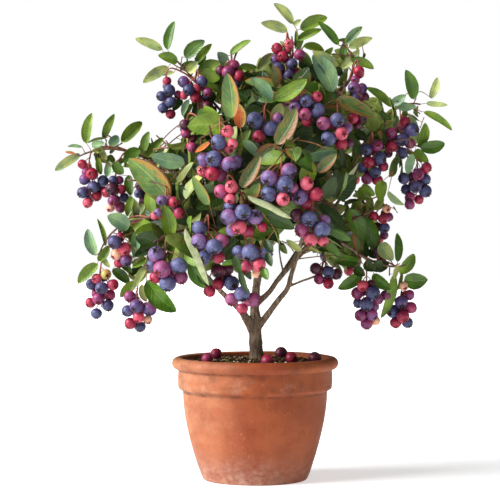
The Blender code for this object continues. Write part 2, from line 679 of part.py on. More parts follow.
def keep_joined(obj, root):
    """Drops whatever the union left apart from the piece that the root is on."""
    shape = bmesh.new()
    shape.from_mesh(obj.data)
    first = min(shape.verts, key=lambda v: (v.co - root).length)
    kept, border = {first}, [first]
    while border:
        vertex = border.pop()
        for edge in vertex.link_edges:
            other = edge.other_vert(vertex)
            if other not in kept:
                kept.add(other)
                border.append(other)
    bmesh.ops.delete(shape, geom=[v for v in shape.verts if v not in kept], context="VERTS")
    shape.to_mesh(obj.data)
    shape.free()


def blade(points, faces):
    """A search tree of the leaf without its root."""
    return BVHTree.FromPolygons([points[0].lerp(points[3], LEAF_ROOT_SHARE)] + points[1:], faces)


def make_mass(name, growth, trees, limb_tree):
    """One solid of the stem, twigs, leaves and berries, fused."""
    grown = growth[name]
    parts = bpy.data.collections.new("parts of " + name)
    bpy.context.scene.collection.children.link(parts)
    stem, stem_radii = grown["stem"]
    stem_shape = tube_mesh(stem, stem_radii, STEM_SIDES, grown["heading"])
    taken = [BVHTree.FromPolygons(*stem_shape)]
    for twig in grown["twigs"] + grown["stalks"]:
        shape = tube_mesh(*twig, TWIG_SIDES)
        add_object("twig", *shape, "foliage", parts)
        taken.append(BVHTree.FromPolygons(*shape))
    for centre, radius in grown["berries"]:
        add_berry(centre, radius, grown["rng"], parts)
        taken.append(ball(centre, radius))
    shoots = [(stem, STEM_SIDES, LAST_FORK)]
    shoots += [(twig, TWIG_SIDES, LEAF_FIRST) for twig, _ in grown["twigs"]]
    for shoot in shoots:
        for seat in leaf_seats(*shoot):
            leaf = try_leaves(seat, name, growth, trees, limb_tree, taken)
            if leaf:
                add_object("leaf", *leaf, "foliage", parts)
    mass = add_object("leaves_" + name, *stem_shape, "foliage")
    apply_boolean(mass, "UNION", collection=parts)
    keep_joined(mass, mm(stem[0]))


def limb_search_tree(limbs):
    """All limbs, a little thicker than they are, as one tree that leaves are tested against."""
    points, faces = [], []
    for name in limbs:
        more, sides = limb_mesh(name, limbs, LIMB_AIR)
        faces += [[len(points) + i for i in face] for face in sides]
        points += more
    return BVHTree.FromPolygons(points, faces)


def build():
    clear_scene()
    make_pot()
    make_soil()
    limbs = limb_lines()
    make_limbs(limbs)
    limb_tree = limb_search_tree(limbs)
    growth = {name: start_mass(name, limbs) for name in MASSES}
    for name in MASSES:
        grow_bunches(name, growth, limb_tree)
    trees = space_trees(growth)
    for name in MASSES:
        grow_twigs(name, growth, limb_tree, trees)
    trees = space_trees(growth)
    for name in MASSES:
        make_mass(name, growth, trees, limb_tree)


build()
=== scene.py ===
"""The looks of the potted serviceberry: a turned clay pot, soil, bark, twigs, leaves and berries.

The trunk and boughs follow the solids' own lines. Each mass of foliage is grown again by the rule of the
solids, stem, bunches, twigs and leaves, and carried on to side twigs, leaf stalks and every berry.
Sizes are in millimetres until a mesh is made. +Z is up and -Y is the front.
"""

import json
import math
import random
from collections import namedtuple

import bmesh
import bpy
import numpy as np
from mathutils import Matrix, Vector, noise
from mathutils.bvhtree import BVHTree
from mathutils.kdtree import KDTree

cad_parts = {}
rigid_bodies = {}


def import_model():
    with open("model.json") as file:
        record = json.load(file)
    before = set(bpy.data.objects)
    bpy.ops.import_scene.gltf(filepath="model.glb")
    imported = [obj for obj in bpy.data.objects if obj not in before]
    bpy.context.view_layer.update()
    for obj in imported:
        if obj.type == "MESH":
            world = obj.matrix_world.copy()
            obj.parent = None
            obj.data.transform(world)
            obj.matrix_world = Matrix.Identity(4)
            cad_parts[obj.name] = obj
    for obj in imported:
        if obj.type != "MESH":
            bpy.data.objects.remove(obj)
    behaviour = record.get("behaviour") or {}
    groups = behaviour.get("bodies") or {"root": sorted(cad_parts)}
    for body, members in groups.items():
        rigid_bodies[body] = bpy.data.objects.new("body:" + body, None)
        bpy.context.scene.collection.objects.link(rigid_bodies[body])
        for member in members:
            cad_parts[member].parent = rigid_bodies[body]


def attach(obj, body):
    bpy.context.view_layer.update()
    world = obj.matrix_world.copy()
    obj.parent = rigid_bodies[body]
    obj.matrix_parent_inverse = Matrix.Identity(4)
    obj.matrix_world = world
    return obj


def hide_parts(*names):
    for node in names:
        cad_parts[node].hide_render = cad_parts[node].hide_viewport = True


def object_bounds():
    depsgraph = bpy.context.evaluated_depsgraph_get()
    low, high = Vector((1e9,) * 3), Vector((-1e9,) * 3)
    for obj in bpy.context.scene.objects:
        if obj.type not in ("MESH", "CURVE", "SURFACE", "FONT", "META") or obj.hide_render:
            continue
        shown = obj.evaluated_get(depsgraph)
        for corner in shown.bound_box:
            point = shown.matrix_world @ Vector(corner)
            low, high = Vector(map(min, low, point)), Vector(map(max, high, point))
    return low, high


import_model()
cad_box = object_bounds()

UP = Vector((0, 0, 1))
FRONT = Vector((0, -1, 0))
TURN = 2 * math.pi
ANY_TURN = 6.3  # the range of random turns
SEED = 7

# Camera and light
CAMERA_DISTANCE = 2.4
CAMERA_HEIGHT = 0.333
CAMERA_ASIDE = -0.0061
LENS = 144
PITCH = math.radians(88.625)  # from straight down
ROOM_LIGHT = 0.18
FLOOR_GLOW = 0.55
LAMP = 6.8
LAMP_WIDTH = math.radians(44)
LAMP_WAY = Vector((0.84, 0.3, -0.52))  # from the upper left

# The pot
POT_HEIGHT = 147.0
POT_BASE_RADIUS = 62.4
POT_BODY_TOP_RADIUS = 86.6
POT_BODY_TOP = 104.0
POT_BULGE = 1.7
COLLAR_RADIUS = 92.4
LIP_MIDDLE = 139.75
LIP_REACH = (7.6, 7.25)
LIP_INNER_RADIUS = 87.5
POT_WALL = 8.0
POT_FLOOR = 9.0
POT_SIDES = 192
DRAIN_HOLES = 3
DRAIN_RADIUS = 5.0
DRAIN_CIRCLE = 30.0
DRAIN_TURN = 0.25  # of the way from one hole to the next

# The soil
SOIL_EDGE = 139.6
SOIL_SHOULDER = 141.8
SOIL_SHOULDER_RADIUS = 58.0
SOIL_TOP = 144.6
SOIL_TOP_RADIUS = 16.0
SOIL_GAP = 0.5  # from the clay at its edge
SOIL_UNDER_GAP = 0.3  # from the clay below it
SOIL_ROUGHNESS = 1.1  # height of its crumbs
SOIL_RINGS = 56
SOIL_SIDES = 144
CHIPS = 1500
CHIP_SIDES = 5
GRIT_SHARE = 0.05
GRIT_SIZES, BIT_SIZES = (0.7, 1.5), (0.9, 3.0)
BIT_SHARES = (6, 3, 2.2)  # dark bark, brown bark and straw

# Trunk and boughs
TRUNK_TOP = 190.0
TRUNK = [  # x, z and radius, from the foot to the fork
    (2.0, 141.0, 10.3), (2.0, 145.5, 9.2), (1.6, 150.7, 8.4), (1.1, 158.0, 8.0), (0.8, 164.0, 8.4),
    (0.5, 170.0, 7.7), (0.0, 182.0, 7.6), (0.0, TRUNK_TOP, 7.3),
]
TRUNK_STEPS = 40
LIMB_STEP = 2.0
LIMB_SIDES = 20
LIMB_COLLAR = 0.32  # how much wider a limb is where it begins
TOP_LIMB_COLLAR = 0.34
KNOT_HEIGHT = 0.05
BARK_VOXEL = 0.95
BARK_FULL_RADIUS = 7.0  # thinner limbs have shallower bark

# Twigs, leaves and fruit, by the solids' rule
FIRST_FORK, LAST_FORK = 0.2, 0.72
STEM_STEPS = 12
STEM_SUNK = 1.5  # in the bough's tip
STEM_SHARE = 0.95  # of the tip's radius
STEM_TIP_RADIUS = 1.0
TWIG_SHARE = 0.66
TWIG_STEPS = 9
TWIG_TIP_RADIUS = 0.7
TWIG_RISE = (-0.05, 0.16)
TWIGS_UP = 0.5  # how far their ends turn upwards from the way out
TWIGS_ROUND = 1.45  # of the 2 from the top of a sphere to its foot
REACH_SHARES = (0.74, 0.9)
LEAF_LIFT = 0.35
FACE_UP, FACE_OUT, FACE_STRAY = 0.35, 1.0, 0.45
GOLDEN_ANGLE = math.radians(137.5)
BERRY_RADIUS = 6.6
BERRY_FLAT = 0.97  # its height, of its width
CROWN_MIDDLE = 360.0

# What the scene adds to that rule: stalks, and the rows of berries at the back, in berries' radii
BUNCH_STALK, BUNCH_STALK_STEPS = (1.35, 0.7), 16  # radii in millimetres from end to end
BERRY_STALK, LEAF_STALK_TIP = (0.5, 0.58), 0.38
STALK_STEPS, STALK_SIDES = 5, 4
BERRY_SIZES = (0.88, 1.05)
ROW_DROP, ROW_STEP, ROW_SHIFT = 1.5, 1.72, 0.42  # from row to row, along a row, and of every other row
STRAY_ACROSS, STRAY_DEEP, STRAY_UP = 0.3, 0.6, 0.32
HIDDEN_STEP, HIDDEN_DEEP, HIDDEN_DROP = 1.8, 1.6, 0.3  # of the row behind each
BERRIES_APART, PRESSING_ROUNDS = 1.88, 80  # how near berries may come when they are pressed apart

# Leaves, shoots and the berries that show
LEAF_SPACING = 12.0  # along a twig
TWIG_LEAF, SHOOT_LEAF, BOUGH_LEAF = 41.0, 37.0, 38.0  # lengths
LEAF_LENGTHS, LEAF_WIDTHS = (0.78, 1.12), (0.5, 0.62)  # of those, and of the leaf's own length
LEAF_FOLDS, LEAF_DROOPS = (0.1, 0.38), (0.0, 0.6)  # at the midrib and on the way to the tip, in radians
LEAF_LEAN, TUFT_LEANS = 0.5, (1.5, 0.9, 0.9)  # along the shoot, and those of the leaves at its tip
LEAF_STALKS, TUFT_STALKS = (4, 8), (2, 4)
LEAF_TRIES, TRY_TURN = 6, 1.13  # for a leaf that finds no room, each turned further
CRAMPED_LEAF = 0.8  # of the length, in the later tries
LATE_SHARE = 0.07  # of the leaves, which are rusting or reddening
# painted shade for leaves inside the crown: the dark tone k, with the pale tone one time in five as painted light for
# lit spots among them
SHADY_TONES = "kkkkl"
RUSTING_FORWARD, OTHERS_FORWARD = 22, 14  # how far leaves at the front stand before the middle of their mass
TWIG_SIDES, SHOOT_SIDES = 6, 5
SHOOT_STEP = 12.0  # between short shoots along a bough or twig
SHOOT_RADII, SHOOT_POINTS = (0.85, 0.5), 6
SHOOTS_BETWEEN = (0.3, 0.94)  # shares of its length
SHOOT_LENGTHS = (13, 27)
BOUGH_SHOOT_LENGTHS = (22, 44)
BOUGH_SHOOTS_FROM = 262.0  # height under which the boughs are bare
DARK_INSIDE = (240, 200, 215)  # half width, depth and height of the crown
DARK_SHARE = 0.6  # of it that lies in the crown's shade, where the leaves get painted shade
BACK_FROM = 40.0  # bunches further back face backwards
SHADE_FROM = -80.0  # berries further back hang in the shade: painted shade, a copy of each skin with less of its wax
BERRY_SWELL = 1.06  # berries that show are this much larger than the circles given for them
BERRY_CLOSE = 0.95  # how far apart two touching berries are, of their radii
HIDDEN_SIZE = 0.9  # of a berry behind one that shows
BUNCH_ROOM = 2.4  # kept free of leaves round a bunch, in berries' radii
CELL = 52.0  # width of the cells of space in which a leaf looks for its neighbours
BOX_SHARE, BOX_REACH = 0.03, 8.0  # how far a leaf may pass the solids' box
SPRAYS_BACK_FROM, SPRAYS_RIGHT_FROM = 50.0, 20.0  # y and x that part the sprays
VEINS = 7.5  # side veins to a leaf, some 5 mm apart
LEAF_DARK, LEAF_LIGHT = (0.56, 0.66, 0.8), (1.45, 1.28, 1.0)  # of a leaf's paint, in its patches
BERRY_EYE = (0.45, 0.45, 0.45)  # of the skin's paint, in its eye

Bough = namedtuple("Bough", "parent fork via tip butt_radius tip_radius")
Mass = namedtuple("Mass", "centre reach twigs tones leaders bunches")
Leaf = namedtuple("Leaf", "root direction normal length width fold droop phase tone")
Shoot = namedtuple("Shoot", "line radii bare leaf sides")
LeafTone = namedtuple("LeafTone", "name paint veins roughness stain onset", defaults=(None, 0.79))
FruitTone = namedtuple("FruitTone", "name skin ripening bloom wax shaded_wax", defaults=(0.55,))

BOUGHS = {
    "centre": Bough("trunk", TRUNK_TOP, [(1, 5, 225), (16, 15, 317), (54, 5, 422)], (104, -2, 468), 6.0, 2.3),
    "left": Bough("trunk", 176, [(-10.5, -8, 193.5), (-18, -20, 205), (-39, -40, 226)], (-64, -78, 256), 5.9, 1.9),
    "right_outer": Bough("trunk", 178, [(10.5, -4, 192), (28, -11, 216), (38.5, -15, 230), (45, -16, 252),
                                        (56.5, -17, 276)], (99, -17, 302), 4.4, 1.9),
    "right_inner": Bough("centre", 209, [(16.5, 7, 224), (27, 9, 238.5), (46, 11, 260), (61, 13, 276),
                                         (80, 15, 301)], (126, 2, 376), 3.7, 1.9),
    "twig_right": Bough("right_outer", 232, [(54, -18, 238)], (70, -20, 244), 1.6, 1.4),
    "low_right": Bough("right_outer", 288, [(102, -28, 284)], (122, -30, 272), 2.4, 1.7),
    "right_upper": Bough("right_inner", 350, [(128, 14, 398)], (155, 2, 432), 2.0, 1.6),
    "left_upper": Bough("centre", 290, [(-50, 2, 342)], (-128, -8, 384), 2.9, 1.8),
    "left_mid": Bough("left_upper", 333, [(-64, -28, 345)], (-88, -52, 350), 2.1, 1.6),
    "lower_left": Bough("centre", 252, [(-36, -48, 300)], (-98, -52, 312), 2.8, 1.8),
    "low_left_front": Bough("lower_left", 296, [(-62, -68, 303)], (-84, -80, 300), 2.1, 1.6),
    "front_left": Bough("centre", 276, [(-10, -66, 340)], (-38, -92, 386), 2.6, 1.7),
    "front": Bough("centre", 236, [(2, -52, 280)], (-6, -104, 326), 2.6, 1.7),
    "front_right": Bough("right_inner", 262, [(55, -58, 292)], (60, -92, 332), 2.3, 1.6),
    "centre_front": Bough("centre", 322, [(26, -55, 350)], (34, -98, 384), 2.5, 1.6),
    "upper_front": Bough("centre", 384, [(38, -30, 418)], (38, -62, 440), 2.2, 1.6),
    "upper_right_front": Bough("centre", 420, [(74, -26, 436)], (92, -56, 446), 2.0, 1.5),
    "top": Bough("centre", 366, [(36, 26, 430)], (43, 12, 484), 2.5, 1.7),
    "top_left": Bough("centre", 338, [(-10, 20, 404)], (-58, 4, 462), 2.7, 1.7),
    "top_mid": Bough("top_left", 410, [(-18, 0, 440)], (-24, -12, 462), 1.9, 1.5),
    "back_top": Bough("top", 404, [(18, 56, 446)], (6, 84, 466), 2.0, 1.6),
    "back_left": Bough("centre", 300, [(-36, 62, 352)], (-84, 92, 386), 2.6, 1.7),
    "back_right": Bough("right_inner", 298, [(94, 66, 352)], (110, 94, 392), 2.3, 1.7),
    "back_low_left": Bough("centre", 244, [(-28, 56, 284)], (-80, 96, 300), 2.6, 1.7),
    "back_low_right": Bough("right_inner", 240, [(58, 64, 280)], (86, 104, 296), 2.4, 1.7),
    "back": Bough("centre", 268, [(8, 64, 318)], (4, 108, 360), 2.6, 1.7),
}

# Short side shoots low on the limbs: limb, height where they leave it, bend, tip, radius
SPURS = [
    ("right_inner", 247, (30, 10, 268), (28, 9, 293), 1.3),
    ("right_inner", 266, (42, 8, 279), (32, 6, 287), 1.0),
    ("centre", 240, (-6, 2, 250), (-12, -2, 262), 0.9),
]

# Each mass: centre, reach, number of twigs, tones of its leaves, leaders, and bunches. A bunch at the back is
# the middle of its berries and their rows from the top down, each letter a berry of that colour. One at the
# front is its depth and its berries, nearest first: colour, x, z, radius and, where it shows, how far the eye
# of the berry lies across and up from its middle, in tenths of its radius
MASSES = {
    "centre": Mass((114, 0, 504), 46, 5, "lmmd", [(104, 0, 526), (134, -4, 516)], [
        (-22, "r 123 488 6.3, v 117 468 7.1, m 119 478 5.2, v 127 468 6.2, w 130 458 6.2, b 121 457 5.9"),
    ]),
    "left": Mass((-56, -100, 268), 40, 4, "dkmle", [], [
        (-128, "b -47 282 9.2 0 -8, v -64 288 9.1, r -42 270 7.2, b -64 303 8.3, m -38 289 8.1, b -60 269 8.2"),
        (-88, "b -27 239 8.3, r -43 238 6.8, w -43 253 8.1, r -53 230 7.1, w -32 255 6.7"),
    ]),
    "right_outer": Mass((134, -10, 310), 46, 5, "ddme", [(158, 0, 330)], [
        (-10, "y 157 325 4.9, r 153 313 6.1, r 142 316 5.6, m 160 315 5.6, b 155 302 6.2, w 147 303 5.7, "
              "m 155 293 5.1, p 150 288 4.7"),
    ]),
    "right_inner": Mass((168, -20, 382), 46, 5, "dmdle", [(200, -8, 398)], [
        (-34, "r 134 380 6.7 -3 -5, b 148 385 7.1, b 142 368 6.7 0 -7, m 144 400 6.6 1 1, b 131 395 6.6, "
              "m 132 360 6.4, r 145 359 6.4, r 152 375 6.0, b 128 374 6.5"),
        (-17, "b 191 351 7.1, m 194 366 6.9, b 203 346 7.5, r 204 374 6.3, b 177 361 6.9, b 203 360 6.6, "
              "m 184 330 6.1, m 185 339 6.2, r 196 336 5.7, b 181 348 6.3, w 186 363 5.7"),
    ]),
    "twig_right": Mass((88, -22, 262), 26, 3, "d", [], [
        (-25, "b 87 250 6.9 0 -8, w 72 254 6.7, r 87 236 6.3, m 76 241 6.1, w 97 247 6.7"),
    ]),
    "low_right": Mass((156, -30, 252), 44, 5, "ddme", [(178, -24, 258)], [
        (-42, "b 131 212 7.7 0 -8, b 139 226 8.1, p 127 234 6.6 0 -6, m 121 225 7.1, v 138 200 6.8, "
              "m 124 199 6.7, m 132 189 7.1 0 -9, b 122 213 6.0, m 145 218 6.5, v 141 209 6.1, y 143 192 5.3, "
              "w 137 236 5.2"),
        (-20, "v 174 214 7.7 1 -7, r 176 197 7.4 3 -6, m 184 222 6.4, m 186 207 6.7, b 164 202 7.1, "
              "r 168 189 6.8 0 -9, b 182 189 6.4, y 177 233 5.4, m 155 222 6.1"),
        (-18, "w 146 274 5.5, r 151 262 5.2"),
    ]),
    "right_upper": Mass((184, 4, 442), 48, 5, "mlmd", [(198, 0, 450), (184, 4, 466)], [
        (-14, "b 175 407 7.6 2 -6, b 187 419 7.8, m 162 415 6.9, r 162 399 6.9 -2 -6, r 179 429 6.1, "
              "m 185 403 6.3, b 175 391 6.8 -1 -8, w 159 391 5.2"),
    ]),
    "left_upper": Mass((-176, -8, 394), 52, 5, "mlmd", [(-210, -4, 388), (-180, 0, 414), (-138, 0, 412)], [
        (-10, "b -193 351 6.8 -4 -6, r -195 367 6.9, b -182 358 6.9, r -190 340 6.3 2 -8, v -204 360 6.3, "
              "b -206 344 6.6 -6 -4, r -206 378 5.6, p -200 332 5.9 -2 -8, w -184 348 5.5, v -203 369 5.0"),
        (-28, "w -170 348 7.1 -4 -4, r -159 348 5.6, m -168 334 6.6, m -160 326 6.0 3 -8, b -156 338 5.8, "
              "r -177 344 5.7, y -172 326 5.2, b -169 359 5.2, m -162 359 5.1"),
    ]),
    "left_mid": Mass((-122, -62, 362), 42, 4, "dkme", [], [
        (-52, "w -135 352 5.6, b -137 343 5.2, w -131 336 5.5, w -128 348 5.2"),
        (-92, "v -108 335 5.9, r -94 333 5.9 3 -3, r -88 320 6.2, v -101 337 5.3, v -112 321 4.5, p -117 317 4.6"),
    ]),
    "lower_left": Mass((-152, -34, 278), 44, 5, "mdl", [(-184, -28, 274), (-168, -30, 298)], [
        (-52, "b -165 286 8.0 -4 -6, p -153 278 7.6, y -164 271 6.5, v -152 264 7.2 2 -7, r -161 261 6.0 2 -8, "
              "r -159 292 5.4"),
        (-30, "b -182 231 7.3 -3 -4, m -186 218 7.0 0 -7, r -168 235 6.5, p -188 242 5.8 -4 -1, "
              "r -196 213 6.2 -6 -6, b -188 201 6.5 0 -9, b -195 235 6.4, b -175 210 6.8 3 -8, m -173 222 6.6, "
              "g -177 247 6.2, m -190 224 5.1"),
    ]),
    "low_left_front": Mass((-110, -72, 268), 40, 4, "dmde", [], [
        (-104, "m -107 256 9.8 -5 -5, b -88 260 9.5 -1 -9, b -101 239 9.4 -1 -9, v -114 273 9.0 0 6, "
               "r -115 246 6.9 -5 -5, m -86 246 7.9 3 -8, b -119 260 6.9"),
        (-60, "v -139 211 8.0 -4 -5, p -137 198 6.8, v -124 207 8.1 -1 -8, m -147 222 7.0 -2 -7, "
              "b -150 205 6.8 -6 -5, r -147 190 6.8 -5 -7, b -136 186 6.7 0 -9, y -127 194 5.4 3 -8"),
    ]),
    "front_left": Mass((-56, -106, 402), 46, 5, "mdke", [], [
        (-130, "b -47 382 9.1 -4 -2, v -30 376 8.6 2 -8, r -49 365 7.9 -1 -4, b -42 401 8.5 -7 -4, "
               "p -31 413 6.8 -4 2, p -26 399 6.1 -1 -6, v -59 381 7.9, p -60 368 6.6 -3 2, v -21 379 7.5, "
               "m -39 363 6.9"),
        (-72, "w -82 423 6.1 -3 -8, m -81 413 5.7 2 -8, m -73 396 5.8, w -73 407 4.9"),
    ]),
    "front": Mass((-14, -132, 312), 44, 5, "dkmle", [], [
        (-152, "b -14 322 8.7 2 -6, v -30 316 9.0 -7 -5, p -18 305 7.9 -3 -6, v 0 316 8.3 2 4, r -8 300 6.9, "
               "b -29 327 6.9, v -27 301 6.9, r 8 305 5.6"),
        (-140, "b -6 276 9.3 -3 -8, p 4 262 7.7 4 -6, r -11 260 6.9 -1 -8, b 12 274 7.8, b -19 276 7.7, "
               "y 1 252 5.1"),
        (-112, "b -15 228 8.8 2 -8, r -15 211 6.6 0 -9, m -2 221 8.0, m -27 221 7.8 -2 -8"),
        (-140, "p -27 350 7.1 -2 2, p -28 336 6.1 -2 -5, m -39 345 7.8"),
    ]),
    "front_right": Mass((68, -108, 326), 42, 4, "dkme", [], [
        (-130, "b 76 302 8.9 0 -9, b 61 314 8.7 -1 -6, p 63 290 7.4 -2 -8, m 53 301 8.2, p 77 289 6.2 3 -8, "
               "w 47 318 7.4, v 79 312 6.5"),
    ]),
    "centre_front": Mass((40, -124, 378), 42, 5, "dkmle", [], [
        (-146, "b 33 353 9.4, v 15 360 9.0 -3 -6, p 31 336 7.3 3 1, b 15 342 8.9, v 38 368 8.7 6 -5, m 43 349 6.0"),
        (-132, "v 50 339 8.8, p 58 354 7.6 6 3, r 69 342 7.6 7 -6, r 58 331 6.7"),
    ]),
    "upper_front": Mass((30, -86, 456), 44, 5, "mdke", [], [
        (-98, "b 58 449 7.4 -2 -3, m 57 434 7.1 -2 -4, b 71 439 8.6 -7 3, r 71 454 6.0 4 2, v 45 442 6.4, "
              "m 48 450 6.1, g 38 452 5.8, r 60 426 6.4, v 34 443 5.3"),
        (-104, "b 0 427 9.2 -5 -6, b 18 417 8.4, r 4 408 7.3, v 26 429 6.4"),
    ]),
    "upper_right_front": Mass((102, -78, 446), 42, 5, "mdme", [], [
        (-100, "p 99 412 7.6 4 -1, b 94 427 8.1 3 -5, b 84 406 8.3, m 78 423 7.5, r 99 400 6.9 0 -9, "
               "v 105 418 7.1, w 109 401 5.5"),
        (-62, "r 114 431 6.4, w 125 432 5.8, w 120 423 5.1"),
    ]),
    "top": Mass((43, 10, 514), 44, 5, "lmml", [(44, 8, 532), (68, 8, 530)], [
        (-12, "r 33 506 6.6 -5 -1, b 27 492 7.2 -7 0, b 44 497 6.7, b 40 484 6.6, p 41 521 5.4 -2 1, "
              "r 26 516 6.6 -8 1, m 53 508 6.7 2 -7, p 29 476 5.9, v 24 503 5.5, r 49 488 5.5, r 23 485 4.5, "
              "r 61 481 5.7 -2 1"),
    ]),
    "top_left": Mass((-84, 0, 492), 46, 5, "mlmd", [(-100, 0, 508), (-62, 4, 512)], [
        (-14, "b -102 466 6.8 -4 -6, b -100 452 6.8 0 -9, b -112 459 6.0 -6 -3, r -105 477 5.2, b -110 445 6.1, "
              "r -101 438 5.8 1 -8"),
        (-22, "b -79 466 6.7 -4 -5, v -85 476 6.9, b -63 476 6.5 -4 -7, r -71 457 6.1 2 -7, m -56 463 5.6 -2 -6, "
              "p -70 468 5.5, p -85 460 5.2, m -92 461 5.2, w -57 447 5.2, w -51 442 5.5, w -58 437 5.2"),
    ]),
    "top_mid": Mass((-20, -16, 500), 34, 4, "mmd", [(-18, -10, 518)], [
        (-34, "m -32 486 7.1, r -19 482 6.2, w -41 489 5.9, m -25 495 6.2, b -23 473 5.7"),
    ]),
    "back_top": Mass((0, 112, 488), 50, 5, "lmd", [], [
        ((-16, 118, 444), "r/bv/mb/p"),
    ]),
    "back_left": Mass((-104, 118, 410), 54, 5, "mdme", [], [
        ((-124, 120, 368), "r/bb/vm/r"),
        ((-76, 142, 376), "vb/pb/mw"),
    ]),
    "back_right": Mass((116, 122, 418), 54, 5, "mdle", [], [
        ((128, 126, 376), "w/bm/bb/p"),
        ((88, 148, 384), "rb/bv/r"),
    ]),
    "back_low_left": Mass((-108, 124, 302), 52, 5, "dmd", [], [
        ((-124, 126, 262), "m/bb/rv/wb"),
        ((-72, 146, 268), "p/bm/br"),
    ]),
    "back_low_right": Mass((104, 132, 300), 52, 5, "dmm", [], [
        ((120, 128, 262), "g/mb/bw/r"),
        ((92, 146, 276), "vb/wp/b"),
    ]),
    "back": Mass((2, 156, 366), 54, 5, "dmle", [], [
        ((-22, 176, 328), "r/vb/bb/mp"),
        ((30, 172, 336), "bw/mb/r"),
    ]),
}

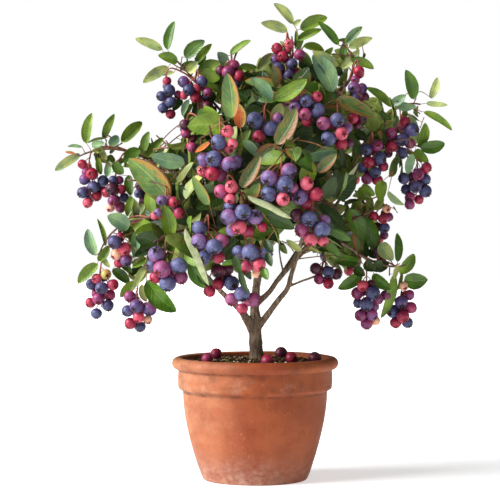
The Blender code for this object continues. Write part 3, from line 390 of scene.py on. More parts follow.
# Leaves that show by themselves, on the outline and over the front: tone, root x and z, tip x and z, how far
# the blade is rolled from facing the front, in degrees, and its width as a share of its length if unusual,
# below nought if it curves to the other side
SHOWN_LEAVES = {
    "top":
        "l 45 547 24 570 10 0.42, l 39 539 8 548 5 0.42, m 54 540 86 554 0 -0.5, m 51 528 79 539 10 -0.42, "
        "m 57 533 52 514 10 0.4, m 49 518 49 539 20 0.3, l 46 545 54 551 10 0.7, m 58 521 82 516 0 -0.5, "
        "k 56 505 60 492 0 0.8, d 67 495 60 513 0, l 22 511 4 491 10 0.46",
    "centre":
        "d 100 521 76 547 10 0.36, g 107 521 127 541 5 -0.5, l 112 518 139 528 20 -0.42, "
        "m 114 503 142 493 10 -0.44, l 99 489 70 512 10 0.44, l 103 492 124 515 15 0.42, d 106 503 111 527 20, "
        "m 80 505 93 517 30, m 99 472 110 488 30, g 93 464 70 509 10, k 66 496 82 480 0 0.8, "
        "k 78 484 92 470 0 0.8, d 88 470 92 452 0 0.8, k 98 495 104 484 0 0.8",
    "top_left":
        "l -111 516 -143 528 10 0.42, d -105 515 -96 548 20 -0.4, m -93 500 -114 508 10 0.6, "
        "l -104 495 -133 476 10 0.4, d -84 506 -61 525 0 -0.56, m -70 499 -60 508 0 0.7, m -90 491 -70 500 20, "
        "m -72 499 -52 521 10 -0.42, m -68 487 -42 500 0 -0.66, l -97 488 -112 485 10 0.45, "
        "m -65 488 -43 481 0 0.8, k -51 484 -38 476 0 0.8, l -81 489 -70 500 0 0.8, k -47 462 -66 452 0 0.8, "
        "k -64 452 -73 436 0 0.75, d -88 456 -98 442 0 0.6, g -79 455 -86 436 10 0.42, m -44 468 -60 474 0 0.7",
    "top_mid":
        "m -29 507 -7 526 45, g -35 498 -44 509 0 0.85, m -18 495 2 494 10, d -14 487 3 483 45",
    "upper_front":
        "g 20 451 -4 475 0, m 22 451 58 473 5",
    "front_left":
        "t -27 428 -32 477 20, o -17 417 -22 446 5 0.56, m -35 420 -76 419 0 0.64, m -21 391 -6 415 10, "
        "o -52 401 -68 390 30, g -14 403 1 385 20",
    "upper_right_front":
        "e 93 451 137 435 30",
    "centre_front":
        "g 88 392 53 385 35, e 70 367 91 386 20, e 24 398 45 437 15 0.46, e -16 349 4 385 15 0.46, "
        "u -9 340 38 314 40 0.18",
    "left_upper":
        "m -202 403 -195 438 5 -0.42, m -182 409 -168 437 15 -0.34, m -160 405 -135 428 10 -0.54, "
        "m -133 394 -127 416 5 -0.5, m -128 387 -110 409 10 -0.38, l -210 391 -239 369 20 0.36, "
        "o -214 391 -226 392 20 0.34, g -205 398 -223 399 10 0.3, l -182 396 -193 393 0 0.8, "
        "m -188 386 -184 366 10 0.5, m -152 389 -155 374 0 0.34, d -150 365 -148 341 0 0.5, "
        "l -190 398 -178 383 30, g -173 400 -163 412 0 0.8, g -194 400 -179 403 20 0.7, g -176 363 -174 382 0 0.6, "
        "d -169 380 -157 367 10 0.8, d -138 396 -156 380 10 0.6",
    "left_mid":
        "t -99 335 -146 381 10 0.5, g -82 378 -119 387 10, m -80 402 -102 398 40, l -92 351 -73 379 60, "
        "l -78 374 -80 411 65, m -145 340 -150 316 10 0.42, m -120 320 -122 349 15",
    "lower_left":
        "g -188 270 -197 301 0 -0.46, m -177 281 -186 312 10 0.24, m -187 260 -209 237 0 0.5, "
        "l -181 268 -172 256 0 0.5, m -186 263 -174 281 0 0.6, m -140 239 -160 220 0 0.5, "
        "l -129 258 -141 232 10 0.34, m -127 267 -143 257 0 0.7, k -135 257 -147 246 0 0.7, "
        "l -135 235 -130 214 5 0.45, d -170 253 -150 236 10 -0.5, d -158 264 -146 250 0 0.6, "
        "m -150 250 -141 240 0 0.6, g -140 298 -142 268 10 -0.48, m -136 264 -146 259 0 0.7, "
        "k -134 257 -148 248 0 0.6, m -128 253 -140 236 0 0.5, g -148 303 -172 316 0 0.72, l -143 310 -146 340 45, "
        "l -149 311 -131 333 10 0.4",
    "low_left_front":
        "k -113 285 -137 292 0 0.85, k -117 281 -139 270 0 0.62, d -126 242 -93 207 5 0.58, m -99 291 -106 329 10",
    "front":
        "k 12 318 42 303 10, d -22 264 -38 263 30, k -17 257 -7 231 20 0.34, d 9 258 14 246 0 0.8, "
        "k 12 290 19 278 0 0.7, k 14 276 18 262 0 0.6, k -24 272 -16 254 0 0.5, k -14 268 -5 246 0 0.4",
    "left":
        "d -75 263 -58 235 10, t -52 330 -71 361 35, u -80 303 -54 241 40 0.21, k -66 252 -50 238 0 0.6",
    "right_upper":
        "d 190 456 180 490 5 0.48, l 211 457 218 482 10 0.44, l 205 451 229 449 30 0.36, "
        "m 202 441 235 420 15 -0.28, g 165 452 190 446 25 0.5, g 163 450 179 460 10 0.6, d 149 442 163 432 10, "
        "m 164 447 134 471 10 0.3",
    "right_inner":
        "m 196 399 204 427 10 0.5, d 197 397 226 403 0 0.62, l 190 400 184 438 10 0.36, m 191 395 206 381 10 0.6, "
        "g 186 390 181 366 10 0.5, d 170 388 160 363 10 0.36, m 150 358 147 334 0 0.72, k 120 418 134 408 0 0.8, "
        "l 156 346 175 330 50",
    "right_outer":
        "l 116 340 137 338 40, d 112 325 125 279 25, d 132 315 143 273 10, l 31 284 38 272 10 0.6, "
        "e 118 297 125 267 10, k 99 281 80 278 0 0.9, m 124 350 138 336 0 0.7, m 134 336 142 322 10 0.5, "
        "k 128 290 134 268 0 0.6, k 138 276 148 266 0 0.8, m 128 354 143 341 0 0.6, m 108 272 115 286 0 0.7, "
        "m 134 249 140 262 0 0.6",
    "low_right":
        "l 149 284 163 265 0 0.7, d 169 262 168 296 5 0.32, m 172 248 189 271 0 0.54, d 177 240 204 241 0 0.76, "
        "d 127 248 99 231 5, d 139 247 160 231 5 0.66, d 122 262 95 262 0 0.62, m 165 247 151 196 10 -0.26, "
        "k 130 262 142 252 0 0.8, k 118 256 130 246 0 0.7, k 139 252 150 264 0 0.8, l 170 258 166 242 10 0.4, "
        "k 158 262 146 250 0 0.7",
    "front_right":
        "d 79 288 96 272 30, d 84 303 109 289 35, l 53 277 36 289 25, l 60 280 73 275 40",
}

# Masses with smaller leaves than the others: their share of the length
LEAF_SHARE = {
    "right_inner": 0.8, "right_outer": 0.76, "right_upper": 0.78, "low_right": 0.82, "left_upper": 0.8,
    "lower_left": 0.86, "centre": 0.84, "twig_right": 0.8, "back_right": 0.86, "top": 0.86, "top_left": 0.88,
}

# How much of its reach a mass fills: less on the outline, where the sky shows between single leaves, and more
# at the back
OPEN = {
    "top": 0.6, "centre": 0.72, "top_left": 0.7, "top_mid": 0.9, "left_upper": 0.62, "right_upper": 0.68,
    "right_inner": 0.95, "lower_left": 0.66, "low_right": 0.75, "low_left_front": 0.8, "right_outer": 0.9,
    "back": 1.36, "back_top": 1.25, "back_left": 1.25, "back_right": 1.25,
}
OTHERS_FILL = 1.12

# Where the sky shows between the boughs: sides, bottom and top of each window, in the plane of the trunk
SKY = [(9, 57, 222, 279), (57, 85, 165, 270), (85, 118, 165, 222), (-190, -86, 411, 448), (-246, -172, 308, 334),
       (-52, 0, 150, 212), (128, 150, 268, 300), (31, 57, 284, 299), (-59, 4, 501, 572), (4, 20, 515, 572),
       (155, 172, 335, 360), (-154, -138, 398, 430), (-125, -100, 402, 425), (134, 170, 466, 492), (1, 19, 506, 520),
       (94, 104, 318, 331), (93, 101, 303, 314), (106, 120, 340, 354), (181, 203, 449, 462), (200, 211, 425, 440),
       (-107, -91, 492, 500), (-97, -85, 505, 522), (-106, -95, 370, 383)]

# Berries that have dropped on the soil: x, y, radius, colour and where the eye looks
FALLEN = [
    (-47, 20, 7.3, "r", (0.5, -0.3, 0.6)), (-57, -31, 7.2, "m", (-0.6, 0.5, 0.2)),
    (14, -68, 7.6, "r", (0.2, 0.6, 0.4)), (32, 43, 7.8, "w", (0.4, 0.8, 0.1)),
    (43, -31, 7.2, "r", (0.6, -0.7, -0.1)), (71, -22, 7.6, "w", (0.8, 0.3, 0.2)),
]

# Leaves by tone: name, paint, paint of the veins, roughness, and for old ones the stain and where it sets in.
# A leaf of tone u turns its silvery underside to the front
LEAF_TONES = {
    "l": LeafTone("pale", "9AAA66", "C9D29B", 0.46),
    "m": LeafTone("mid", "6A8A1C", "A9BD79", 0.42),
    "d": LeafTone("dark", "42680A", "7F9A62", 0.38),
    # partly painted sheen: the grey-green stands in for the gleam of a wet leaf, over its own green, with real gloss in
    # its low roughness
    "g": LeafTone("shining", "6E9066", "A9BFA0", 0.3),
    "t": LeafTone("rusting", "547636", "B7B273", 0.45, "987228"),
    "e": LeafTone("reddening", "3E5A20", "8A8A4A", 0.45, "7E5420", 0.72),
    "o": LeafTone("orange", "C4602E", "D98A4A", 0.5, "A8923C"),
    # painted shade: a darker paint for leaves in the shade inside the crown and behind the bunches
    "k": LeafTone("painted_shade_deep", "243E04", "5C7440", 0.42),
}
RUSTY_RIMS = "teo"

# Berries by colour: name, paint of the skin, of its unripe side and of its bloom of wax, how thick the bloom
# is, and its share on berries in the shade
FRUIT_TONES = {
    "b": FruitTone("blue", "1A1F44", "3A2050", "7A82B0", 0.78),
    "v": FruitTone("violet", "362558", "903064", "9E86B8", 0.66, 0.4),
    "m": FruitTone("magenta", "661C50", "9A204A", "BE7AA4", 0.56, 0.4),
    "r": FruitTone("crimson", "960E30", "781238", "CC5A72", 0.36),
    "p": FruitTone("pink", "BE2C4A", "A81A3C", "EC98A6", 0.55),
    "w": FruitTone("wine", "3E1024", "58122E", "70485E", 0.35),
    "g": FruitTone("green", "A09C4C", "BE8452", "D6D49C", 0.4),
    "y": FruitTone("cream", "D8907A", "E0AA84", "F2D6BE", 0.4),
}
RED_CROWNED = "rpmgy"


# ---------------------------------------------------------------- meshes


def placed(name, data):
    """An object with this data, in the scene."""
    made = bpy.data.objects.new(name, data)
    bpy.context.scene.collection.objects.link(made)
    return made


def add_piece(name, points, faces, finishes, patches=None, marks=None):
    """A piece from points in millimetres. patches is the finish of each face, marks a flat place for each
    point, by which its veins or its eye are found."""
    mesh = bpy.data.meshes.new(name)
    mesh.from_pydata((np.asarray(points, float) / 1000).tolist(), [], faces)
    for finish in finishes:
        mesh.materials.append(finish)
    if patches is not None:
        mesh.polygons.foreach_set("material_index", np.asarray(patches, np.int32))
    if marks is not None:
        corners = np.empty(len(mesh.loops), np.int32)
        mesh.loops.foreach_get("vertex_index", corners)
        mesh.uv_layers.new(name="place").data.foreach_set("uv", np.asarray(marks, float)[corners].ravel())
    mesh.shade_smooth()
    piece = placed(name, mesh)
    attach(piece, "root")
    return piece


def spline(way, count):
    """A smooth curve of count points through the way points."""
    way = [Vector(p) for p in way]
    way = [2 * way[0] - way[1]] + way + [2 * way[-1] - way[-2]]
    spans = len(way) - 3
    line = []
    for i in range(count):
        at = i * spans / (count - 1)
        k = min(int(at), spans - 1)
        t = at - k
        a, b, c, d = way[k : k + 4]
        square, cube = 2 * a - 5 * b + 4 * c - d, 3 * b - a - 3 * c + d
        line.append(b + 0.5 * ((c - a) * t + square * t**2 + cube * t**3))
    return line


def bow(start, control, end, count):
    """A single bend from start to end, drawn towards a control point."""
    line = []
    for i in range(count):
        t = i / (count - 1)
        line.append((1 - t) ** 2 * start + 2 * t * (1 - t) * control + t**2 * end)
    return line


def length_of(line):
    """How long a line is."""
    return sum((b - a).length for a, b in zip(line, line[1:]))


def point_on(line, share):
    """The point at a share of a line's length."""
    at = share * (len(line) - 1)
    k = min(int(at), len(line) - 2)
    return line[k].lerp(line[k + 1], at - k)


def heading_on(line, share):
    """The way that a line runs at a share of its length."""
    k = min(int(share * (len(line) - 1)), len(line) - 2)
    return (line[k + 1] - line[k]).normalized()


def taper(first, last, count):
    """Even steps from one radius to another."""
    return [first + (last - first) * i / (count - 1) for i in range(count)]


def frames(line):
    """At each point of a line, two directions square to it, with no twist from point to point."""
    tangents = [(line[min(i + 1, len(line) - 1)] - line[max(i - 1, 0)]).normalized() for i in range(len(line))]
    side = tangents[0].orthogonal().normalized()
    found = []
    for tangent in tangents:
        side = (side - side.dot(tangent) * tangent).normalized()
        found.append((side, tangent.cross(side)))
    return found


def tube(line, radii, sides, points, faces):
    """Adds a closed round tube to a list of points and faces."""
    first = len(points)
    turns = [(math.cos(TURN * i / sides), math.sin(TURN * i / sides)) for i in range(sides)]
    for centre, radius, (side, other) in zip(line, radii, frames(line)):
        for across, along in turns:
            points.append(centre + radius * (across * side + along * other))
    for ring in range(len(line) - 1):
        a, b = first + ring * sides, first + (ring + 1) * sides
        for i in range(sides):
            j = (i + 1) % sides
            faces.append((a + i, a + j, b + j, b + i))
    faces.append(tuple(first + sides - 1 - i for i in range(sides)))
    faces.append(tuple(len(points) - sides + i for i in range(sides)))


# ---------------------------------------------------------------- pot and soil


def ripple(x, y, z):
    """A smooth unevenness, about one bump to each step of 1."""
    return noise.noise(Vector((x, y, z)))


def pot_side(height):
    """The pot's radius at a height of its body."""
    share = min(1.0, height / POT_BODY_TOP)
    return POT_BASE_RADIUS + (POT_BODY_TOP_RADIUS - POT_BASE_RADIUS) * (1 - (1 - share) ** POT_BULGE)


def arc(centre, radii, start, end, count):
    """Points of an ellipse between two angles, in degrees."""
    angles = [math.radians(start + (end - start) * i / (count - 1)) for i in range(count)]
    return [(centre[0] + radii[0] * math.cos(a), centre[1] + radii[1] * math.sin(a)) for a in angles]


def pot_profile():
    """The clay's section from the middle of the underside, up outside, over the lip and down inside: radius and
    height at each point."""
    outside = [(20, 0), (40, 0), (POT_BASE_RADIUS - 1.5, 0), (POT_BASE_RADIUS - 0.4, 0.5)]
    outside += [(pot_side(h) - 0.1, h) for h in (1.6, 3, 5)]
    outside += [(pot_side(POT_BODY_TOP * i / 44), POT_BODY_TOP * i / 44) for i in range(3, 45)]
    under = [(POT_BODY_TOP_RADIUS + 0.2, 105.8), (87.6, 107.2), (89.6, 108.1), (91.3, 109.2), (92.1, 110.6)]
    collar = [(COLLAR_RADIUS + 0.35 * math.sin(math.pi * i / 10), 112 + 18.4 * i / 10) for i in range(11)]
    cove = [(92.5, 131.3), (93.0, 132.0), (94.0, 132.7)]
    lip = arc((COLLAR_RADIUS, LIP_MIDDLE), LIP_REACH, -64, 128, 26)
    inside = [(LIP_INNER_RADIUS, 143.0), (LIP_INNER_RADIUS - 0.3, 139)]
    inside += [(LIP_INNER_RADIUS - 1.5 - 0.02 * i, 134 - 3.2 * i) for i in range(8)]
    inside += [(pot_side(POT_BODY_TOP * i / 10) - POT_WALL, POT_BODY_TOP * i / 10) for i in range(9, 1, -1)]
    floor = [(pot_side(POT_FLOOR) - POT_WALL - 6, POT_FLOOR), (30, POT_FLOOR)]
    return [(0, 0)] + outside + under + collar + cove + lip + inside + floor + [(0, POT_FLOOR)]


def turned(profile, sides, shift):
    """Points and faces of a closed turned shape, each point moved out and up by shift(radius, angle, height)."""
    points, faces, rings = [], [], []
    for radius, height in profile:
        if radius == 0:
            rings.append([len(points)] * sides)
            points.append((0, 0, height))
            continue
        rings.append(list(range(len(points), len(points) + sides)))
        for i in range(sides):
            angle = TURN * i / sides
            out, up = shift(radius, angle, height)
            points.append(((radius + out) * math.cos(angle), (radius + out) * math.sin(angle), height + up))
    for lower, upper in zip(rings, rings[1:]):
        for i in range(sides):
            j = (i + 1) % sides
            faces.append(tuple(dict.fromkeys((lower[i], lower[j], upper[j], upper[i]))))
    return points, faces


def thrown(radius, angle, height):
    """How a hand-thrown pot departs from a true circle: finger rings, a dent or two and an uneven lip."""
    if height < 2 or radius < POT_BASE_RADIUS - 6:
        return 0, 0
    x, y = math.cos(angle), math.sin(angle)
    rings = 0.16 * ripple(x * 0.3, y * 0.3, height * 0.42)
    dents = 0.45 * ripple(x * 1.3, y * 1.3, height * 0.018 + 9)
    scars = 0.1 * ripple(x * 14, y * 14, height * 0.16 + 3)
    lift = 0.35 * ripple(x * 1.1, y * 1.1, 4) * min(1, height / POT_HEIGHT)
    return rings + dents + scars, lift


def make_pot(finish):
    """The pot in one turned skin, drilled through its floor."""
    points, faces = turned(pot_profile(), POT_SIDES, thrown)
    pot = add_piece("pot_thrown", points, faces, [finish])
    drills = bmesh.new()
    for i in range(DRAIN_HOLES):
        angle = TURN * (i + DRAIN_TURN) / DRAIN_HOLES
        place = Matrix.Translation(Vector((math.cos(angle), math.sin(angle), 0)) * DRAIN_CIRCLE / 1000)
        radius = DRAIN_RADIUS / 1000
        bmesh.ops.create_cone(drills, cap_ends=True, segments=32, radius1=radius, radius2=radius, depth=0.05,
                              matrix=place)
    mesh = bpy.data.meshes.new("drills")
    drills.to_mesh(mesh)
    drills.free()
    cutter = placed("drills", mesh)
    cut = pot.modifiers.new("drain_holes", "BOOLEAN")
    cut.operation, cut.object = "DIFFERENCE", cutter
    settle(pot)
    bpy.data.objects.remove(cutter)
    pot.data.shade_smooth()
    pot.data.set_sharp_from_angle(angle=math.radians(40))
    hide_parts("pot")


def settle(piece):
    """Puts a piece's modifiers into its mesh."""
    graph = bpy.context.evaluated_depsgraph_get()
    made = bpy.data.meshes.new_from_object(piece.evaluated_get(graph))
    piece.modifiers.clear()
    piece.data = made


def soil_level(radius):
    """The height of the soil before its crumbs, mounded at the trunk."""
    if radius < SOIL_SHOULDER_RADIUS:
        share = max(0.0, radius - SOIL_TOP_RADIUS) / (SOIL_SHOULDER_RADIUS - SOIL_TOP_RADIUS)
        return SOIL_TOP + (SOIL_SHOULDER - SOIL_TOP) * share
    share = (radius - SOIL_SHOULDER_RADIUS) / (LIP_INNER_RADIUS - SOIL_SHOULDER_RADIUS)
    return SOIL_SHOULDER + (SOIL_EDGE - SOIL_SHOULDER) * share


def soil_height(x, y):
    """The crumbly top of the soil at a place."""
    radius = math.hypot(x, y)
    crumbs = ripple(x * 0.11, y * 0.11, 2) + 0.6 * ripple(x * 0.35, y * 0.35, 5)
    grit = 0.35 * ripple(x * 0.9, y * 0.9, 8)
    return soil_level(radius) + SOIL_ROUGHNESS * (crumbs + grit)


def make_soil(bed_finish, bit_finishes):
    """The soil's bed, and the bits of bark, straw and grit that lie on it."""
    wall = [(pot_side(POT_BODY_TOP * i / 6) - POT_WALL - SOIL_GAP, POT_BODY_TOP * i / 6) for i in range(1, 7)]
    bottom = POT_FLOOR + SOIL_UNDER_GAP
    under = [(0, bottom), (20, bottom), (pot_side(POT_FLOOR) - POT_WALL - 7, bottom)]
    outer = LIP_INNER_RADIUS - 1.5 - SOIL_GAP
    top = [(outer * (1 - i / SOIL_RINGS), soil_level(outer * (1 - i / SOIL_RINGS))) for i in range(SOIL_RINGS)]

    def crumble(radius, angle, height):
        if height < SOIL_EDGE - 1:
            return 0, 0
        return 0, soil_height(radius * math.cos(angle), radius * math.sin(angle)) - soil_level(radius)

    points, faces = turned(under + wall + top + [(0, soil_height(0, 0))], SOIL_SIDES, crumble)
    bed = add_piece("soil_bed", points, faces, [bed_finish])
    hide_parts("soil")
    rng = random.Random(SEED)
    points, faces, patches = [], [], []
    for _ in range(CHIPS):
        kind = add_chip(outer - 2.5, points, faces, rng)
        patches += [kind] * (len(faces) - len(patches))
    chips = add_piece("soil_chips", points, faces, bit_finishes, patches)
    chips.data.shade_flat()


def add_chip(outer, points, faces, rng):
    """Adds one bit, broken and half sunk in the soil. Returns its kind: two barks, straw or grit."""
    radius, angle = outer * math.sqrt(rng.uniform(0.012, 1)), rng.uniform(0, TURN)
    x, y = radius * math.cos(angle), radius * math.sin(angle)
    grit = rng.random() < GRIT_SHARE
    kind = 3 if grit else rng.choices((0, 1, 2), BIT_SHARES)[0]
    size = rng.uniform(*GRIT_SIZES) if grit else rng.uniform(*BIT_SIZES) * rng.uniform(0.6, 1.0)
    long, wide, thick = size * rng.uniform(1, 1.7), size * rng.uniform(0.5, 1), size * rng.uniform(0.3, 0.7)
    if grit:
        long, wide, thick = size * 1.1, size, size * 0.9
    turn = Matrix.Rotation(rng.uniform(0, ANY_TURN), 3, "Z") @ Matrix.Rotation(rng.uniform(-0.5, 0.5), 3, "X")
    middle = Vector((x, y, soil_height(x, y) + thick * 0.35))
    first = len(points)
    for level, share in ((-1, 0.7), (0, 1), (1, 0.62)):
        for i in range(CHIP_SIDES):
            a = TURN * i / CHIP_SIDES + level * 0.4
            corner = Vector((math.cos(a) * long * share, math.sin(a) * wide * share, level * thick))
            points.append(middle + turn @ (corner * rng.uniform(0.8, 1.15)))
    for a in (first, first + CHIP_SIDES):
        b = a + CHIP_SIDES
        for i in range(CHIP_SIDES):
            j = (i + 1) % CHIP_SIDES
            faces.append((a + i, a + j, b + j, b + i))
    faces.append(tuple(range(first + CHIP_SIDES - 1, first - 1, -1)))
    faces.append(tuple(range(len(points) - CHIP_SIDES, len(points))))
    return kind


# ---------------------------------------------------------------- trunk and boughs


def trunk_line():
    """The trunk leans a little and swells at its foot and at a node half way up."""
    line = spline([(x, 0, z) for x, z, _ in TRUNK], TRUNK_STEPS)
    return line, [v.x for v in spline([(radius, 0, 0) for *_, radius in TRUNK], TRUNK_STEPS)]


def at_height(line, height):
    """The point where a limb passes a height."""
    for low, high in zip(line, line[1:]):
        if low.z <= height <= high.z:
            return low.lerp(high, (height - low.z) / max(1e-6, high.z - low.z))
    return line[-1].copy()


def limb_lines():
    """Centre lines and radii of the trunk, the boughs and the short side shoots."""
    limbs = {"trunk": trunk_line()}
    shoots = list(BOUGHS.items())
    for i, (parent, height, bend, tip, radius) in enumerate(SPURS):
        shoots.append((f"spur{i}", Bough(parent, height, [bend], tip, radius, radius * 0.7)))
    for name, bough in shoots:
        start = at_height(limbs[bough.parent][0], bough.fork)
        way = [start] + [Vector(p) for p in bough.via] + [Vector(bough.tip)]
        count = max(8, round(length_of(way) / LIMB_STEP))
        line = spline(way, count)
        radii = taper(bough.butt_radius, bough.tip_radius, count)
        for i, radius in enumerate(radii):
            collar = TOP_LIMB_COLLAR if name == "centre" else LIMB_COLLAR
            collar *= math.exp(-i * LIMB_STEP / (3 * radius))
            knots = KNOT_HEIGHT * noise.noise(line[i] * 0.11 + Vector((0, 0, len(limbs))))
            radii[i] = radius * (1 + collar + knots)
        limbs[name] = line, radii
    return limbs


def bark_relief(point):
    """How far the bark stands out: long shallow furrows, broken by small cross cracks and breathing pores."""
    furrows = ripple(point.x * 0.55, point.y * 0.55, point.z * 0.075)
    cracks = ripple(point.x * 1.2, point.y * 1.2, point.z * 0.4 + 7)
    pores = max(0.0, ripple(point.x * 0.6, point.y * 0.6, point.z * 0.9 + 31) - 0.32)
    return 0.48 * furrows + 0.16 * cracks + 0.8 * pores


def make_bark(limbs, finish):
    """One skin over trunk and boughs, so that they run smoothly into each other at the forks."""
    points, faces = [], []
    for line, radii in limbs.values():
        tube(line, radii, LIMB_SIDES, points, faces)
    bark = add_piece("bark", points, faces, [finish])
    skin = bark.modifiers.new("skin", "REMESH")
    skin.mode, skin.voxel_size, skin.use_smooth_shade = "VOXEL", BARK_VOXEL / 1000, True
    ease = bark.modifiers.new("ease", "SMOOTH")
    ease.factor, ease.iterations = 0.5, 4
    settle(bark)
    mesh = bark.data
    mesh.materials.clear()
    mesh.materials.append(finish)
    tree = KDTree(sum(len(line) for line, _ in limbs.values()))
    widths = []
    for line, radii in limbs.values():
        for point, radius in zip(line, radii):
            tree.insert(point, len(widths))
            widths.append(radius)
    tree.balance()
    for vertex, normal in zip(mesh.vertices, [v.normal.copy() for v in mesh.vertices]):
        place = vertex.co * 1000
        width = widths[tree.find(place)[1]]
        vertex.co += normal * bark_relief(place) * min(1.0, width / BARK_FULL_RADIUS) / 1000
    mesh.shade_smooth()
    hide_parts("trunk", *["bough_" + name for name in BOUGHS])


# ---------------------------------------------------------------- growth


def spread_directions(count, outward, rng):
    """Directions spread evenly over the outer and upper part of a sphere."""
    wanted = (outward + TWIGS_UP * UP).normalized()
    turn = rng.uniform(0, TURN)
    to_outward = UP.rotation_difference(wanted)
    found = []
    for i in range(count):
        height = 1 - TWIGS_ROUND * (i + 0.5) / count
        ring = math.sqrt(max(0.0, 1 - height * height))
        angle = turn + i * GOLDEN_ANGLE
        found.append(to_outward @ Vector((ring * math.cos(angle), ring * math.sin(angle), height)))
    return found


def outward_of(point):
    """The way out of the crown from a point in it."""
    return Vector((point.x, point.y, point.z - CROWN_MIDDLE)).normalized()


def start_mass(name, limbs):
    """The stem of a mass, where its twigs are to end, and shares of the stem where things leave it."""
    mass = MASSES[name]
    rng = random.Random(name)
    line, radii = limbs[name]
    heading = (line[-1] - line[-2]).normalized()
    centre = Vector(mass.centre)
    start = line[-1] - heading * STEM_SUNK
    ends = [Vector(p) for p in mass.leaders]
    for direction in spread_directions(mass.twigs - len(ends), outward_of(centre), rng):
        ends.append(centre + direction * mass.reach * rng.uniform(*REACH_SHARES) * min(1, OPEN.get(name, 1)))
    bend = start + heading * (centre - start).length
    stem = bow(start, bend, ends[0], STEM_STEPS)
    forks = len(ends) - 1 + len(mass.bunches)
    shares = [FIRST_FORK + (LAST_FORK - FIRST_FORK) * i / (forks - 1) for i in range(forks)]
    radius = BOUGHS[name].tip_radius * STEM_SHARE
    return {"rng": rng, "stem": (stem, taper(radius, STEM_TIP_RADIUS, STEM_STEPS)), "radius": radius,
            "ends": ends[1:], "shares": shares, "twigs": []}


def branch_off(grown, share, end, lift):
    """A twig that leaves the stem at a share of its length, two thirds as thick as the stem is there."""
    root = point_on(grown["stem"][0], share)
    radius = (grown["radius"] + (STEM_TIP_RADIUS - grown["radius"]) * share) * TWIG_SHARE
    return bow(root, root.lerp(end, 0.5) + lift, end, TWIG_STEPS), taper(radius, TWIG_TIP_RADIUS, TWIG_STEPS)


def berries_in_rows(rows, middle, rng):
    """The berries of a bunch at the back: rows across its outer side, and some behind them, pressed together.
    Each berry is its centre, its radius, its colour and the way that its eye looks, if that is known."""
    rows, radius = rows.split("/"), BERRY_RADIUS
    places, colours, shift = [], "", 0.0
    for i, row in enumerate(rows):
        drop = ((len(rows) - 1) / 2 - i) * radius * ROW_DROP
        alike = i > 0 and (len(row) - len(rows[i - 1])) % 2 == 0
        shift = (-shift or rng.choice((-ROW_SHIFT, ROW_SHIFT))) if alike else 0.0
        for j, colour in enumerate(row):
            across = (j - (len(row) - 1) / 2 + shift) * radius * ROW_STEP
            across += rng.uniform(-STRAY_ACROSS, STRAY_ACROSS) * radius
            depth = rng.uniform(-STRAY_DEEP, STRAY_DEEP) * radius
            places.append((across, depth, drop + rng.uniform(-STRAY_UP, STRAY_UP) * radius))
            colours += colour
        for j in range(len(row) - 1 if 0 < i else 0):
            across = (j - (len(row) - 2) / 2) * radius * HIDDEN_STEP
            places.append((across, HIDDEN_DEEP * radius, drop - HIDDEN_DROP * radius))
            colours += rng.choice(row + "w")
    spots = np.array(places)
    home = spots.copy()
    for _ in range(PRESSING_ROUNDS):
        gaps = spots[:, None] - spots[None]
        far = np.linalg.norm(gaps, axis=2) + np.eye(len(spots)) * 1e3
        push = np.clip(BERRIES_APART * radius - far, 0, None)[..., None] * gaps / far[..., None]
        spots = spots + 0.5 * push.sum(1) + 0.03 * (home - spots)
    spots -= spots.mean(0) - np.array((0, 0.35 * radius, 0))
    return [(middle + Vector(s), radius * rng.uniform(*BERRY_SIZES), c, None) for s, c in zip(spots, colours)]


def rows_of(text):
    """The rows of a table, each a letter and its numbers."""
    return [(row.split()[0], [float(n) for n in row.split()[1:]]) for row in text.split(", ") if row]


def placed_berries(depth, berries, rng):
    """The berries of a front bunch where they show, each just behind the ones that it touches, and as many
    again behind them, so that the bunch is round."""
    found = []

    def behind_the_others(x, z, size, front):
        for centre, other, *_ in found:
            room, apart = BERRY_CLOSE * (size + other), math.hypot(centre.x - x, centre.z - z)
            if apart < room:
                front = max(front, centre.y + math.sqrt(room**2 - apart**2))
        return Vector((x, front, z))

    for colour, (x, z, size, *eye) in rows_of(berries):
        size *= BERRY_SWELL
        if eye:
            across, up = (n / 10 for n in eye)
            eye = Vector((across, -math.sqrt(max(0.0, 1 - across**2 - up**2)), up)).normalized()
        front = depth - 3 + rng.uniform(-0.2, 0.4) * size
        found.append((behind_the_others(x, z, size, front), size, colour, eye or None))
    heart = sum((b[0] for b in found), Vector()) / len(found)
    for centre, size, colour, _ in list(found):
        x, z = heart.x + (centre.x - heart.x) * 0.72, heart.z + (centre.z - heart.z) * 0.78
        spot = behind_the_others(x + rng.uniform(-2, 2), z + rng.uniform(-2, 2), size * HIDDEN_SIZE, centre.y)
        if spot.y < heart.y + 3.2 * size:
            found.append((spot, size * HIDDEN_SIZE, rng.choice(colour + "mvb"), None))
    return found


